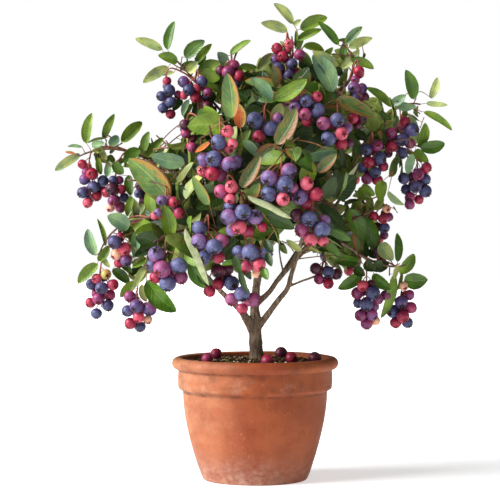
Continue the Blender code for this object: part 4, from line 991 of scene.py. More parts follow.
def hang_bunch(place, rows, share, grown, plant):
    """A red stalk from the stem, down through the bunch, and each berry on a stalk of its own. Returns the
    middle of the bunch and the radius of its berries."""
    rng = grown["rng"]
    if isinstance(place, tuple):
        berries = berries_in_rows(rows, Vector(place), rng)
    else:
        berries = placed_berries(place, rows, rng)
    radius = sum(b[1] for b in berries) / len(berries)
    heart = sum((b[0] for b in berries), Vector()) / len(berries)
    top = max(b[0].z for b in berries) + radius * 0.9
    low = min(b[0].z for b in berries) + radius
    head = Vector((heart.x, heart.y, top + 5))
    root = point_on(grown["stem"][0], share)
    lift = UP * (2 + 0.14 * (head - root).length)
    way = [root, root.lerp(head, 0.5) + lift, head + UP * 2, Vector((heart.x, heart.y, low))]
    line = spline(way, BUNCH_STALK_STEPS)
    plant["tubes"].append((line, taper(*BUNCH_STALK, BUNCH_STALK_STEPS), TWIG_SIDES, "stalk"))
    for centre, size, colour, eye in berries:
        aside = Vector((centre.x - heart.x, centre.y - heart.y, 0)) / radius
        stray = Vector([rng.uniform(-0.45, 0.45) for _ in range(3)])
        if not eye:
            eye = (0.6 * aside + 0.3 * FRONT * (1 if heart.y < BACK_FROM else -1) - 0.6 * UP + stray).normalized()
        # painted shade: berries further back take the shaded copy of their skin
        colour = colour if heart.y < SHADE_FROM else colour.upper()
        plant["berries"].append((centre, size, eye, colour, rng.uniform(0, ANY_TURN)))
        seat = Vector((heart.x, heart.y, min(top + 3, centre.z + radius * 1.9)))
        end = centre - eye * size * BERRY_FLAT
        stalk = bow(seat, seat.lerp(end, 0.6) + aside * 1.5 + UP * 1.5, end, STALK_STEPS)
        plant["tubes"].append((stalk, taper(*BERRY_STALK, STALK_STEPS), STALK_SIDES, "stalk"))
    return heart, radius


def near_front_bunch(points, plant):
    """Whether a leaf would hang before a bunch, on the side that it is seen from."""
    for middle, reach, facing in plant["shown"]:
        for point in points:
            gap = point - middle
            depth = gap.dot(facing)
            if depth > 0 and (gap - depth * facing).length < reach:
                return True
    return False


def leaf_outline(leaf):
    """Six corners of a leaf and its four faces, for testing what it touches."""
    side = leaf.direction.cross(leaf.normal).normalized() * (leaf.length * leaf.width * 0.46)

    def corner(along, sag):
        return leaf.root + leaf.direction * leaf.length * along - leaf.normal * leaf.droop * leaf.length * sag

    a, b, tip = corner(0.28, 0), corner(0.7, 0.12), corner(0.97, 0.25)
    return [corner(0.06, 0), a + side, b + side, tip, b - side, a - side], [(0, 1, 5), (1, 2, 4), (1, 4, 5), (2, 3, 4)]


def in_the_sky(point):
    """Whether a point would stand in a window where the sky shows, seen from the front."""
    away = CAMERA_DISTANCE * 1000
    share = away / (away + point.y)
    x, z = point.x * share, CAMERA_HEIGHT * 1000 + (point.z - CAMERA_HEIGHT * 1000) * share
    return any(left < x < right and bottom < z < top for left, right, bottom, top in SKY)


def cells_of(point):
    """The cell of space that a point is in and its neighbours, for finding the leaves near it."""
    x, y, z = (int(c // CELL) for c in point)
    return [(x + i, y + j, z + k) for i in (0, -1, 1) for j in (0, -1, 1) for k in (0, -1, 1)]


def try_leaf(leaf, name, plant, strict=True):
    """Adds a leaf if it keeps to its mass's reach and touches no berry, limb or other leaf."""
    corners, faces = leaf_outline(leaf)
    low, high = plant["box"]
    for corner in corners:
        if any(not low[i] < corner[i] < high[i] for i in range(3)):
            return False
    if strict:
        if name:
            mass = MASSES[name]
            if (corners[3] - Vector(mass.centre)).length > mass.reach * OPEN.get(name, OTHERS_FILL):
                return False
        if any(in_the_sky(corner) for corner in corners) or near_front_bunch(corners, plant):
            return False
    shape = BVHTree.FromPolygons(corners, faces)
    cells = cells_of(sum(corners, Vector()) / 6)
    if strict and plant["solid"].overlap(shape):
        return False
    if strict and any(shape.overlap(other) for cell in cells for other in plant["taken"].get(cell, ())):
        return False
    plant["taken"].setdefault(cells[0], []).append(shape)
    plant["leaves"].append(leaf)
    return True


def leaf_stalk(root, start, plant):
    """The thin stalk between a leaf and its twig. A long one begins as a shoot."""
    length = (root - start).length
    middle = start.lerp(root, 0.5) + UP * length * (0.12 if length < 14 else -0.1)
    thick = 0.5 + 0.012 * min(length, 30)
    line, radii = bow(start, middle, root, STALK_STEPS), taper(thick, LEAF_STALK_TIP, STALK_STEPS)
    plant["tubes"].append((line, radii, STALK_SIDES, "shoot"))


def grow_shown_leaves(name, plant, tree):
    """The leaves that show by themselves, each on a stalk from the nearest twig. Returns which of the tree's
    spots they hang on."""
    middle, rng, used = MASSES[name].centre[1], random.Random(name + " shown"), []
    for tone, (x, z, tip_x, tip_z, roll, *width) in rows_of(SHOWN_LEAVES.get(name, "")):
        depth = tree.find(Vector((x, middle, z)))[0].y + rng.uniform(-3, 3)
        if tone in "tegou" or name.endswith("front"):
            depth = min(depth, middle - (RUSTING_FORWARD if tone == "t" else OTHERS_FORWARD))
        forward = rng.uniform(-9, 5)
        if tone == "u":
            depth, forward = middle - 20, -34
        root = Vector((x, depth, z))
        tip = Vector((tip_x, depth + forward, tip_z))
        direction = (tip - root).normalized()
        across = direction.cross(FRONT).normalized()
        normal = across.cross(direction).normalized()
        if normal.dot(FRONT) < 0:
            normal = -normal
        normal = Matrix.Rotation(math.radians(roll) * rng.choice((-1, 1)), 3, direction) @ normal
        if tone == "u":
            normal = -normal
        width = width[0] if width else rng.choice((-1, 1)) * (0.46 if tone in "tou" else 0.5)
        droop = rng.uniform(-0.1, 0.35) * (0.15 if tone == "u" else 1)
        leaf = Leaf(root, direction, normal, (tip - root).length * 1.04, abs(width), rng.uniform(0.35, 0.75), droop,
                    math.copysign(0.31, width), tone)
        try_leaf(leaf, name, plant, strict=False)
        spot, number, _ = tree.find(root)
        leaf_stalk(root + direction * 0.3, spot, plant)
        used.append(number)
        plant["shown"].append((root.lerp(tip, 0.5), (tip - root).length * 0.3, FRONT))
    return used


def leaves_along(line, bare, tones, size, name, plant, rng):
    """A spray: one leaf after another round a shoot and a tuft at its tip, all of one tone. Returns how far
    along the last one stands."""
    tone, last = rng.choice(tones), 0.0
    size, spacing = size * LEAF_SHARE.get(name, 1), LEAF_SPACING * LEAF_SHARE.get(name, 1) ** 1.3
    count = max(1, round(length_of(line) * (1 - bare) / spacing))
    turn = rng.uniform(0, TURN)
    for i in range(count + len(TUFT_LEANS)):
        share = bare + (1 - bare) * min(i, count) / count
        along = heading_on(line, min(share, 0.999))
        side = along.orthogonal().normalized()
        other = along.cross(side)
        at = point_on(line, min(share, 0.995))
        lean = LEAF_LEAN if i < count else TUFT_LEANS[i - count]
        for attempt in range(LEAF_TRIES):
            angle = turn + i * GOLDEN_ANGLE + attempt * TRY_TURN
            radial = math.cos(angle) * side + math.sin(angle) * other
            direction = (radial + lean * along + LEAF_LIFT * UP).normalized()
            facing = UP * FACE_UP + Vector((at.x, at.y, 0)).normalized() * FACE_OUT
            normal = facing + Vector([rng.uniform(-FACE_STRAY, FACE_STRAY) for _ in range(3)])
            normal = (normal - normal.dot(direction) * direction).normalized()
            stalk = rng.uniform(*(LEAF_STALKS if i < count else TUFT_STALKS))
            long = size * rng.uniform(*LEAF_LENGTHS) * (1 if attempt < LEAF_TRIES // 2 else CRAMPED_LEAF)
            root = at + (direction * 0.8 + radial * 0.35).normalized() * stalk
            out = Vector((root.x, root.y, root.z - CROWN_MIDDLE))
            # painted shade: leaves inside the crown take the dark shade tones
            inner = Vector(c / half for c, half in zip(out, DARK_INSIDE)).length < DARK_SHARE
            shade = rng.choice(SHADY_TONES) if inner else "te"[i % 2] if rng.random() < LATE_SHARE else tone
            leaf = Leaf(root, direction, normal, long, rng.uniform(*LEAF_WIDTHS), rng.uniform(*LEAF_FOLDS),
                        rng.uniform(*LEAF_DROOPS), rng.uniform(0, ANY_TURN), shade)
            if try_leaf(leaf, name, plant):
                leaf_stalk(root + direction * 0.3, at, plant)
                last = max(last, share)
                break
    return last


def side_shoots(line, radii, lengths, plant, rng, keep):
    """Short shoots from a limb or twig, turned by the golden angle, whose ends pass the test keep."""
    found = []
    first, last = SHOOTS_BETWEEN
    count = max(1, round(length_of(line) * (1 - first) / SHOOT_STEP))
    turn = rng.uniform(0, ANY_TURN)
    for i in range(count):
        share = first + (last - first) * (i + 0.5) / count
        along = heading_on(line, share)
        side = along.orthogonal().normalized()
        angle = turn + i * GOLDEN_ANGLE
        radial = math.cos(angle) * side + math.sin(angle) * along.cross(side)
        start = point_on(line, share)
        thick = radii[min(int(share * len(radii)), len(radii) - 1)]
        end = start + (radial * 0.9 + along * 0.6 + UP * 0.3).normalized() * (rng.uniform(*lengths) + thick)
        shoot = bow(start, start.lerp(end, 0.5) + UP * rng.uniform(-1, 2), end, SHOOT_POINTS)
        if keep(end) and not in_the_sky(end) and not near_front_bunch(shoot[2:], plant):
            found.append((shoot, taper(min(SHOOT_RADII[0], 0.8 * thick), SHOOT_RADII[1], SHOOT_POINTS)))
    return found


def cut_back(line, radii, last):
    """A shoot as far as its last leaf."""
    keep = max(3, math.ceil(last * (len(line) - 1)) + 1)
    return line[:keep], radii[:keep]


def grow_stems_and_bunches(growth, plant):
    """The stem of each mass with its bunches and twigs, and room kept before each bunch so that it shows."""
    for name, mass in MASSES.items():
        grown = growth[name]
        plant["tubes"].append((*grown["stem"], 8, "twig"))
        for place, rows in mass.bunches:
            middle, radius = hang_bunch(place, rows, grown["shares"].pop(0), grown, plant)
            room = radius * BUNCH_ROOM
            if middle.y < BACK_FROM:
                plant["shown"].append((middle, room, FRONT))
            plant["shown"].append((middle, room * 0.8, Vector((middle.x, middle.y, 0)).normalized()))
        for end in grown["ends"]:
            share, rng = grown["shares"].pop(0), grown["rng"]
            lift = UP * (end - grown["stem"][0][1]).length * rng.uniform(*TWIG_RISE)
            grown["twigs"].append(branch_off(grown, share, end, lift))


def solid_round(limbs, berries):
    """Limbs and berries, a little swollen, for keeping leaves off them."""
    points, faces = [], []
    for line, radii in limbs.values():
        tube(line, [r + 0.6 for r in radii], 8, points, faces)
    for centre, radius, *_ in berries:
        tube([centre + UP * h * radius for h in (-1, -0.5, 0.5, 1)],
             [(radius + 0.3) * r for r in (0.25, 0.9, 0.9, 0.25)], 8, points, faces)
    return BVHTree.FromPolygons(points, faces)


def grow_shoots(name, grown, plant):
    """A mass's twigs and side shoots, and the leaves on them that show by themselves. Returns what its other
    leaves grow from, with how far along each shoot a leaf already hangs."""
    mass, rng = MASSES[name], random.Random(name + " sprays")
    centre, reach = Vector(mass.centre), mass.reach * 0.95 * min(1, OPEN.get(name, 1) + 0.1)
    shoots = [Shoot(*twig, 0.3, TWIG_LEAF, TWIG_SIDES) for twig in grown["twigs"]]
    for twig in grown["twigs"] + [grown["stem"]]:
        for shoot in side_shoots(*twig, SHOOT_LENGTHS, plant, rng, lambda end: (end - centre).length < reach):
            shoots.append(Shoot(*shoot, 0.4, SHOOT_LEAF, SHOOT_SIDES))
    spots = [(point_on(shoot.line, i / 16), n, i / 16) for n, shoot in enumerate(shoots) for i in range(17)]
    spots += [(spot, -1, 0) for spot in grown["stem"][0]]
    tree = KDTree(len(spots))
    for i, (spot, *_) in enumerate(spots):
        tree.insert(spot, i)
    tree.balance()
    held = {}
    for _, number, share in (spots[i] for i in grow_shown_leaves(name, plant, tree)):
        held[number] = max(share, held.get(number, 0))
    return name, mass.tones, rng, shoots, held


def grow_crown(limbs):
    """Everything on the limbs: tubes, leaves and berries, as lists."""
    low, high = (np.array(corner) * 1000 for corner in cad_box)
    beyond = BOX_SHARE * (high - low) + BOX_REACH
    plant = {"tubes": [], "leaves": [], "berries": [], "taken": {}, "shown": [],
             "box": (low - beyond, high + beyond)}
    growth = {name: start_mass(name, limbs) for name in MASSES}
    grow_stems_and_bunches(growth, plant)
    plant["solid"] = solid_round(limbs, plant["berries"])
    sprays = [grow_shoots(name, growth[name], plant) for name in MASSES]
    for name in BOUGHS:
        rng = random.Random(name + " shoots")
        shoots = side_shoots(*limbs[name], BOUGH_SHOOT_LENGTHS, plant, rng, lambda end: end.z > BOUGH_SHOOTS_FROM)
        sprays.append(("", "ddm", rng, [Shoot(*shoot, 0.3, BOUGH_LEAF, SHOOT_SIDES) for shoot in shoots], {}))
    for name, tones, rng, shoots, held in sprays:
        if name:
            leaves_along(growth[name]["stem"][0], 0.45, tones, TWIG_LEAF, name, plant, rng)
        for number, (line, radii, bare, leaf, sides) in enumerate(shoots):
            last = max(held.get(number, 0), leaves_along(line, bare, tones, leaf, name, plant, rng))
            if last or sides == TWIG_SIDES:
                kind = "twig" if sides == TWIG_SIDES else "shoot"
                plant["tubes"].append((*cut_back(line, radii, last), sides, kind))
    return plant


# ---------------------------------------------------------------- leaves, berries and twigs as meshes

LEAF_ROWS = np.array([0.05, 0.14, 0.27, 0.41, 0.55, 0.69, 0.82, 0.93])  # between root and tip
LEAF_COLUMNS = np.array([-1.0, -0.84, 0.0, 0.84, 1.0])
LEAF_THICKNESS = 0.25
MIDRIB_THICKNESS = 2.2  # of the blade's
LEAF_WIDEST = 0.426  # of its length
ROOT_POWER, TIP_POWER = 0.52, 0.7  # how round a leaf is at its root and its tip
RIM_NOTCH = (0.985, 1.025)  # of its width, from row to row in turn
RIM_WAVE, SIDE_CURVE = 0.016, 0.055  # of its length


def leaf_template():
    """Faces of one leaf, which are top, rim or underside, and its flat places.

    Point 0 is the root and point 1 the tip. Then come eight points for each row: five across the top, rim
    to rim, and three under it. Both sides are cut along the same diagonals, so that neither shows through."""
    rows = len(LEAF_ROWS)
    faces, kinds = [], []
    sides = (((0, 1, 2, 3, 4), 1), ((0, 5, 6, 7, 4), -1))
    for i in range(rows - 1):
        a, b = 2 + 8 * i, 2 + 8 * (i + 1)
        for row, way in sides:
            for j in range(4):
                left, right = row[j], row[j + 1]
                quad = [(a + left, a + right, b + right), (a + left, b + right, b + left)]
                if j > 1:
                    quad = [(a + left, a + right, b + left), (a + right, b + right, b + left)]
                faces += [face[::way] for face in quad]
                kinds += [2 if way < 0 else 1 if j == 3 else 0] * 2
    for end, row_at, turn in ((0, 0, -1), (1, rows - 1, 1)):
        a = 2 + 8 * row_at
        for row, way in sides:
            for j in range(4):
                faces.append((a + row[j], a + row[j + 1], end)[:: way * turn])
                kinds.append(2 if way < 0 else 1 if j == 3 else 0)
    marks = [(0.5, 0), (0.5, 1)]
    for row in LEAF_ROWS:
        marks += [(0.5 + c / 2, row) for c in (*LEAF_COLUMNS, *LEAF_COLUMNS[1:4])]
    return faces, np.array(kinds), np.array(marks)


def leaf_points(leaves):
    """The points of all leaves at once: folded on the midrib, drooped, and waved along the rim."""
    roots, ways, normals = (np.array([leaf[i] for leaf in leaves]) for i in range(3))
    long, wide, fold, droop, phase = (np.array([leaf[i] for leaf in leaves])[:, None] for i in range(3, 8))
    ways /= np.linalg.norm(ways, axis=1, keepdims=True)
    sides = np.cross(ways, normals)
    sides /= np.linalg.norm(sides, axis=1, keepdims=True)
    faces_up = np.cross(sides, ways)
    droop = np.where(np.abs(droop) < 0.02, 0.02, droop)
    widest = LEAF_WIDEST**ROOT_POWER * (1 - LEAF_WIDEST) ** TIP_POWER

    def at(share, across, under):
        share = np.full_like(long, share)
        outline = share**ROOT_POWER * (1 - share) ** TIP_POWER / widest
        half = long * wide / 2 * outline
        run = np.sin(droop * share) / droop * long
        fall = -(1 - np.cos(droop * share)) / droop * long
        out = abs(across) ** 1.2 * half * np.sin(fold)
        wave = np.sin(9 * share + phase + (2.2 if across > 0 else 0)) * np.sin(3.1 * share)
        up = out + RIM_WAVE * long * across**2 * wave - under
        curve = SIDE_CURVE * long * np.sin(5 * phase) * np.sin(3.0 * share)
        return (roots + ways * (run + up * np.sin(droop * share)) + faces_up * (fall + up * np.cos(droop * share))
                + sides * (across * half * np.cos(fold * abs(across)) + curve))

    columns = [at(0.0, 0.0, 0.0), at(1.0, 0.0, 0.0)]
    for i, row in enumerate(LEAF_ROWS):
        columns += [at(row, c * (RIM_NOTCH[i % 2] if abs(c) == 1 else 1), 0.0) for c in LEAF_COLUMNS]
        columns += [at(row, c, LEAF_THICKNESS * (MIDRIB_THICKNESS if c == 0 else 1)) for c in LEAF_COLUMNS[1:4]]
    return np.stack(columns, axis=1)


def make_leaves(plant, finishes):
    """Leaf sprays by the part of the crown that they hang in, each a closed thin body in its own outline."""
    faces, kinds, marks = leaf_template()
    tones = list(LEAF_TONES)
    underside, rusty_rim, silver = (len(tones) + i for i in range(3))
    regions = {"sprays_left": [], "sprays_right": [], "sprays_back": []}
    for leaf in plant["leaves"]:
        where = "back" if leaf.root.y > SPRAYS_BACK_FROM else "left" if leaf.root.x < SPRAYS_RIGHT_FROM else "right"
        regions["sprays_" + where].append(leaf)
    made = []
    for name, leaves in regions.items():
        points = leaf_points(leaves)
        per = points.shape[1]
        all_faces = [tuple(i + n * per for i in face) for n in range(len(leaves)) for face in faces]
        patches = []
        for leaf in leaves:
            top = tones.index("m" if leaf.tone == "u" else leaf.tone)
            rim = rusty_rim if leaf.tone in RUSTY_RIMS else top
            patches.append(np.choose(kinds, (top, rim, silver if leaf.tone == "u" else underside)))
        spray = add_piece(name, points.reshape(-1, 3), all_faces, finishes, np.concatenate(patches),
                          np.tile(marks, (len(leaves), 1)))
        spray.data.set_sharp_from_angle(angle=math.radians(75))
        made.append(spray)
    return made


BERRY_SIDES = 16
BERRY_RINGS = [(8, 1.0), (24, 1.0), (42, 1.0), (60, 1.0), (78, 1.005), (96, 1.005), (114, 1.0), (132, 1.0),
               (148, 1.0), (159, 1.0), (166, 0.965), (170, 0.86)]  # degrees from the stalk, radius
SEPALS = 5
PIT = 0.76  # height of its bottom, of the berry's radius


def berry_template():
    """A berry of radius 1, its eye at +Z: a round body with a pit, and a crown of five sepals round the pit."""
    points, faces, kinds, marks = [(0, 0, -BERRY_FLAT)], [], [], [(0.5, 0)]
    for degrees, radius in BERRY_RINGS:
        a = math.radians(degrees)
        for i in range(BERRY_SIDES):
            turn = TURN * i / BERRY_SIDES
            points.append((radius * math.sin(a) * math.cos(turn), radius * math.sin(a) * math.sin(turn),
                           -radius * math.cos(a) * BERRY_FLAT))
            marks.append((i / BERRY_SIDES, degrees / 180))
    pit = len(points)
    points.append((0, 0, PIT))
    marks.append((0.5, 1))
    last = len(BERRY_RINGS) - 1
    for i in range(BERRY_SIDES):
        j = (i + 1) % BERRY_SIDES
        faces.append((0, 1 + j, 1 + i))
        kinds.append(0)
        for ring in range(last):
            a, b = 1 + ring * BERRY_SIDES, 1 + (ring + 1) * BERRY_SIDES
            faces.append((a + i, a + j, b + j, b + i))
            kinds.append(1 if ring == last - 1 else 0)
        faces.append((1 + last * BERRY_SIDES + i, 1 + last * BERRY_SIDES + j, pit))
        kinds.append(1)
    for i in range(SEPALS):
        turn = TURN * i / SEPALS

        def place(radius, aside, height):
            angle = turn + aside
            points.append((radius * math.cos(angle), radius * math.sin(angle), height))
            marks.append((0.5, 1))
            return len(points) - 1

        left, right = place(0.28, -0.6, 0.93), place(0.28, 0.6, 0.93)
        tip, back = place(0.62, 0.0, 0.98), place(0.36, 0.0, 0.86)
        faces += [(left, right, tip), (right, back, tip), (back, left, tip), (left, back, right)]
        kinds += [1] * 4
    return np.array(points), faces, np.array(kinds), np.array(marks)


def make_berries(plant, finishes):
    """All berries, in two pieces, with the eye of each turned the way that it hangs."""
    template, faces, kinds, marks = berry_template()
    letters = list(FRUIT_TONES) + [k.upper() for k in FRUIT_TONES]
    middle = sorted(centre.x for centre, *_ in plant["berries"])[len(plant["berries"]) // 2]
    for name, keep in (("berries_left", lambda x: x < middle), ("berries_right", lambda x: x >= middle)):
        berries = [b for b in plant["berries"] if keep(b[0].x)]
        points, all_faces, patches = [], [], []
        for n, (centre, radius, eye, colour, turn) in enumerate(berries):
            stand = UP.rotation_difference(eye).to_matrix() @ Matrix.Rotation(turn, 3, "Z")
            stretch = np.array((1, 1, 0.97 + 0.04 * math.sin(turn)))
            points.append((template * stretch * radius) @ np.array(stand).T + np.array(centre))
            all_faces += [tuple(i + n * len(template) for i in face) for face in faces]
            crown = len(letters) + (1 if colour.lower() in RED_CROWNED else 0)
            patches.append(np.where(kinds == 1, crown, letters.index(colour)))
        add_piece(name, np.concatenate(points), all_faces, finishes, np.concatenate(patches),
                  np.tile(marks, (len(berries), 1)))


def make_twigs(plant, finishes):
    """Twigs, side shoots, leaf stalks and fruit stalks, joined into one piece."""
    kinds = {"twig": 0, "shoot": 1, "stalk": 2}
    points, faces, patches = [], [], []
    for line, radii, sides, kind in plant["tubes"]:
        before = len(faces)
        tube(line, radii, sides, points, faces)
        patches += [kinds[kind]] * (len(faces) - before)
    return add_piece("twigs", points, faces, finishes, patches)


# ---------------------------------------------------------------- finishes


def linear(paint, shares=(1, 1, 1)):
    """An sRGB hex colour as the shader takes it, each channel times a share."""
    parts = [int(paint[i : i + 2], 16) / 255 for i in (0, 2, 4)]
    parts = [c / 12.92 if c <= 0.04045 else ((c + 0.055) / 1.055) ** 2.4 for c in parts]
    return (*(min(1, c * share) for c, share in zip(parts, shares)), 1)


def new_finish(name):
    """A finish and its nodes, its shader, and the place on the piece that its patterns follow."""
    made = bpy.data.materials.new(name)
    made.use_nodes = True
    tree = made.node_tree
    return made, tree, tree.nodes["Principled BSDF"], put(tree, "TexCoord", out="Object")


def put(tree, kind, inputs=None, out=0, **settings):
    """Adds a node with its settings and links, and returns one of its outputs."""
    node = tree.nodes.new("ShaderNode" + kind)
    for key, value in settings.items():
        setattr(node, key, value)
    set_inputs(tree, node, inputs or {})
    return node.outputs[out]


def set_inputs(tree, node, inputs):
    """Gives inputs their values, or links them from outputs, by name or number."""
    for key, value in inputs.items():
        if isinstance(value, bpy.types.NodeSocket):
            tree.links.new(value, node.inputs[key])
        else:
            node.inputs[key].default_value = value


def grain(tree, place, size, detail=3, rough=0.5, stretch=(1, 1, 1), shift=(0, 0, 0)):
    """A ragged pattern whose patches are size millimetres across."""
    moved = put(tree, "Mapping", {"Vector": place, "Scale": stretch, "Location": shift})
    return put(tree, "TexNoise", {"Vector": moved, "Scale": 1000 / size, "Detail": detail, "Roughness": rough})


def amount(tree, *held):
    """How strongly something shows: all that hold it back, multiplied. Each is a number, an output, or an
    output with the values between which it comes in and, unless these are 0 and 1, what it gives there."""
    total = None
    for part in held:
        if isinstance(part, tuple):
            value, start, end, least, most = (*part, 0, 1)[:5]
            part = put(tree, "MapRange", {0: value, 1: start, 2: end, 3: least, 4: most})
        total = part if total is None else put(tree, "Math", {0: total, 1: part}, operation="MULTIPLY")
    return total


def coats(tree, colour, *layers):
    """Paints laid over a colour one after another: each is a colour and what holds it back."""
    for paint, *held in layers:
        colour = put(tree, "Mix", {0: amount(tree, *held), 6: colour, 7: paint}, out=2, data_type="RGBA")
    return colour


def thrown_clay():
    """Terracotta, thrown and fired without glaze: dry and matt, mottled by the kiln, with a pale crust of lime
    low down. Painted light: a pale sheen up the lit left side and a paler right side. Painted shade: dark lines
    in the corners under the collar and the lip. Heights and sides of these are in metres."""
    made, tree, shader, place = new_finish("terracotta_unglazed")
    aside, height = (put(tree, "SeparateXYZ", {0: place}, out=i) for i in (0, 2))
    cloud = grain(tree, place, 62.5, 4, 0.55)  # kiln clouds
    patch = grain(tree, place, 22.222, 3, 0.6, shift=(3, 1, 2))  # blotches
    speck = grain(tree, place, 1.1111, 2, 0.6)  # grog
    ragged = grain(tree, place, 26.316, 6, 0.7, (1, 1, 1.6), (7, 3, 5))  # the film's edge
    crust = grain(tree, place, 9.5238, 6, 0.7, (1, 1, 1.3), (5, 2, 8))
    runs = grain(tree, place, 14.286, 4, 0.6, (1, 1, 0.12), (1, 4, 6))  # runs of water down the wall
    fleck = grain(tree, place, 2.381, 3, 0.6, (1, 1, 0.7), (4, 4, 4))
    smudge = grain(tree, place, 33.333, 5, 0.65, (1, 1, 1.4), (9, 2, 1))
    corner_shade_grain = grain(tree, place, 8.3333, 4, 0.6, (1, 1, 0.5), (2, 8, 1))
    upper = amount(tree, (height, 0.0, 0.07, 0.35, 1))
    clay = coats(
        tree, linear("7C3216"),
        (linear("964A24"), (cloud, 0.35, 0.65)),
        (linear("5C2614"), (patch, 0.52, 0.72, 0, 0.35)),
        (linear("B06A44"), (speck, 0.55, 0.75, 0, 0.35)),
        (linear("6E3C26"), (height, 0.055, 0.004, 0, 0.6)),  # darker towards the foot
        (linear("C8A898"), (height, 0.04, 0.004), (aside, 0.07, -0.02, 0.35, 1), (crust, 0.36, 0.7), 0.5),
        (linear("DCC0AE"), (height, 0.104, 0.112), (height, 0.131, 0.118), (ragged, 0.52, 0.72, 0, 0.22)),
        # painted light: a pale sheen up the left side, where the lamp falls, ragged at its edge like a film of lime
        (linear("BE8A66"), (aside, -0.01, -0.09), (ragged, 0.3, 0.6, 0.2, 0.6), upper),
        # painted light: the right side paler, as if lit by the white room; this and the sheen fade towards the foot
        (linear("B06840"), (aside, 0.02, 0.095, 0, 0.42), upper),
        (linear("6A2A14"), (runs, 0.5, 0.75, 0, 0.2)),
        (linear("BE7C50"), (fleck, 0.57, 0.68, 0, 0.42), (ragged, 0.5, 0.64)),
        (linear("54301C"), (smudge, 0.5, 0.68, 0, 0.5), (height, 0.098, 0.112)),
    )
    for low, high in ((0.1035, 0.1085), (0.13, 0.134)):  # painted shade: dark lines in the corners under the collar and the lip
        clay = coats(tree, clay, (linear("4A2418"), (height, low, low + 0.0015), (height, high, high - 0.0015),
                                  (corner_shade_grain, 0.35, 0.65, 0.1, 0.6)))
    rings = put(tree, "TexWave", {"Vector": place, "Scale": 100 * math.pi / 5.236, "Distortion": 3, "Detail": 2},
                out=1, bands_direction="Z")  # left by the fingers, every 5.2 mm
    relief = put(tree, "Math", {0: speck, 1: amount(tree, rings, 0.25)}, operation="ADD")
    set_inputs(tree, shader, {
        "Base Color": clay, "Roughness": amount(tree, (patch, 0.3, 0.7, 0.58, 0.78)), "IOR": 1.5,
        "Specular IOR Level": 0.3, "Normal": put(tree, "Bump", {"Height": relief, "Distance": 0.0003, "Strength": 0.5}),
    })
    return made


def potting_soil():
    """Moist peat soil: dark, matt and crumbly, paler where its top has dried."""
    made, tree, shader, place = new_finish("peat_soil")
    crumbs = grain(tree, place, 3.8462, 4, 0.65)
    dry = grain(tree, place, 20, 2)
    soil = coats(tree, linear("18110C"), (linear("3C2C1E"), (crumbs, 0.35, 0.7)),
                 (linear("58452F"), (dry, 0.5, 0.75, 0, 0.5)))
    set_inputs(tree, shader, {
        "Base Color": soil, "Roughness": 0.95, "Specular IOR Level": 0.15,
        "Normal": put(tree, "Bump", {"Height": crumbs, "Distance": 0.0012, "Strength": 0.9}),
    })
    return made


def living_bark():
    """Smooth grey-brown bark of a young tree, grown in long shallow furrows: dull, with paler dry ridges and
    breathing pores."""
    made, tree, shader, place = new_finish("serviceberry_bark")
    furrows = grain(tree, place, 2.381, 4, 0.6, (1, 1, 0.16))  # this far apart, and six times as long
    broad = grain(tree, place, 16.667, shift=(1, 5, 2))
    pores = put(tree, "TexVoronoi", {"Vector": place, "Scale": 1000 / 3.0303, "Randomness": 1})
    bark = coats(tree, linear("3A291E"), (linear("A48C74"), (furrows, 0.32, 0.68)),
                 (linear("67574A"), (broad, 0.45, 0.7, 0, 0.55)), (linear("9C8A70"), (pores, 0.22, 0.12, 0, 0.5)))
    set_inputs(tree, shader, {
        "Base Color": bark, "Roughness": 0.82, "Specular IOR Level": 0.25,
        "Normal": put(tree, "Bump", {"Height": furrows, "Distance": 0.0009, "Strength": 1}),
    })
    return made


def mottled(name, dark, light, size, roughness, specular, turn=(0.3, 0.7), detail=3, rough=0.5):
    """A plain skin that passes from one paint to another in patches size millimetres across."""
    made, tree, shader, place = new_finish(name)
    skin = coats(tree, linear(dark), (linear(light), (grain(tree, place, size, detail, rough), *turn)))
    set_inputs(tree, shader, {"Base Color": skin, "Roughness": roughness, "Specular IOR Level": specular})
    return made


def chip_finishes():
    """Bits in the soil: shredded bark, straw and white grit, each dull and broken."""
    return [mottled(name, dark, light, size, 0.9, 0.2, rough=0.6) for name, dark, light, size in (
        ("shredded_bark_dark", "2A1D13", "45301F", 2.5), ("shredded_bark_brown", "4A3420", "745636", 2.5),
        ("straw", "6E6038", "9E8C58", 3.3333), ("white_grit", "B4AC98", "DAD4C4", 1.6667))]


def young_wood_finishes():
    """Young shoots and stalks: a thin satin skin, rusty or red on the sunny side and green in the shade."""
    return [mottled(name, dark, light, 10.526, 0.5, 0.35, (0.35, 0.65)) for name, dark, light in (
        ("twig_brown", "4A3024", "765540"), ("shoot_green", "7A6A3A", "9A5A3C"), ("stalk_red", "7C3A2E", "A8644C"))]


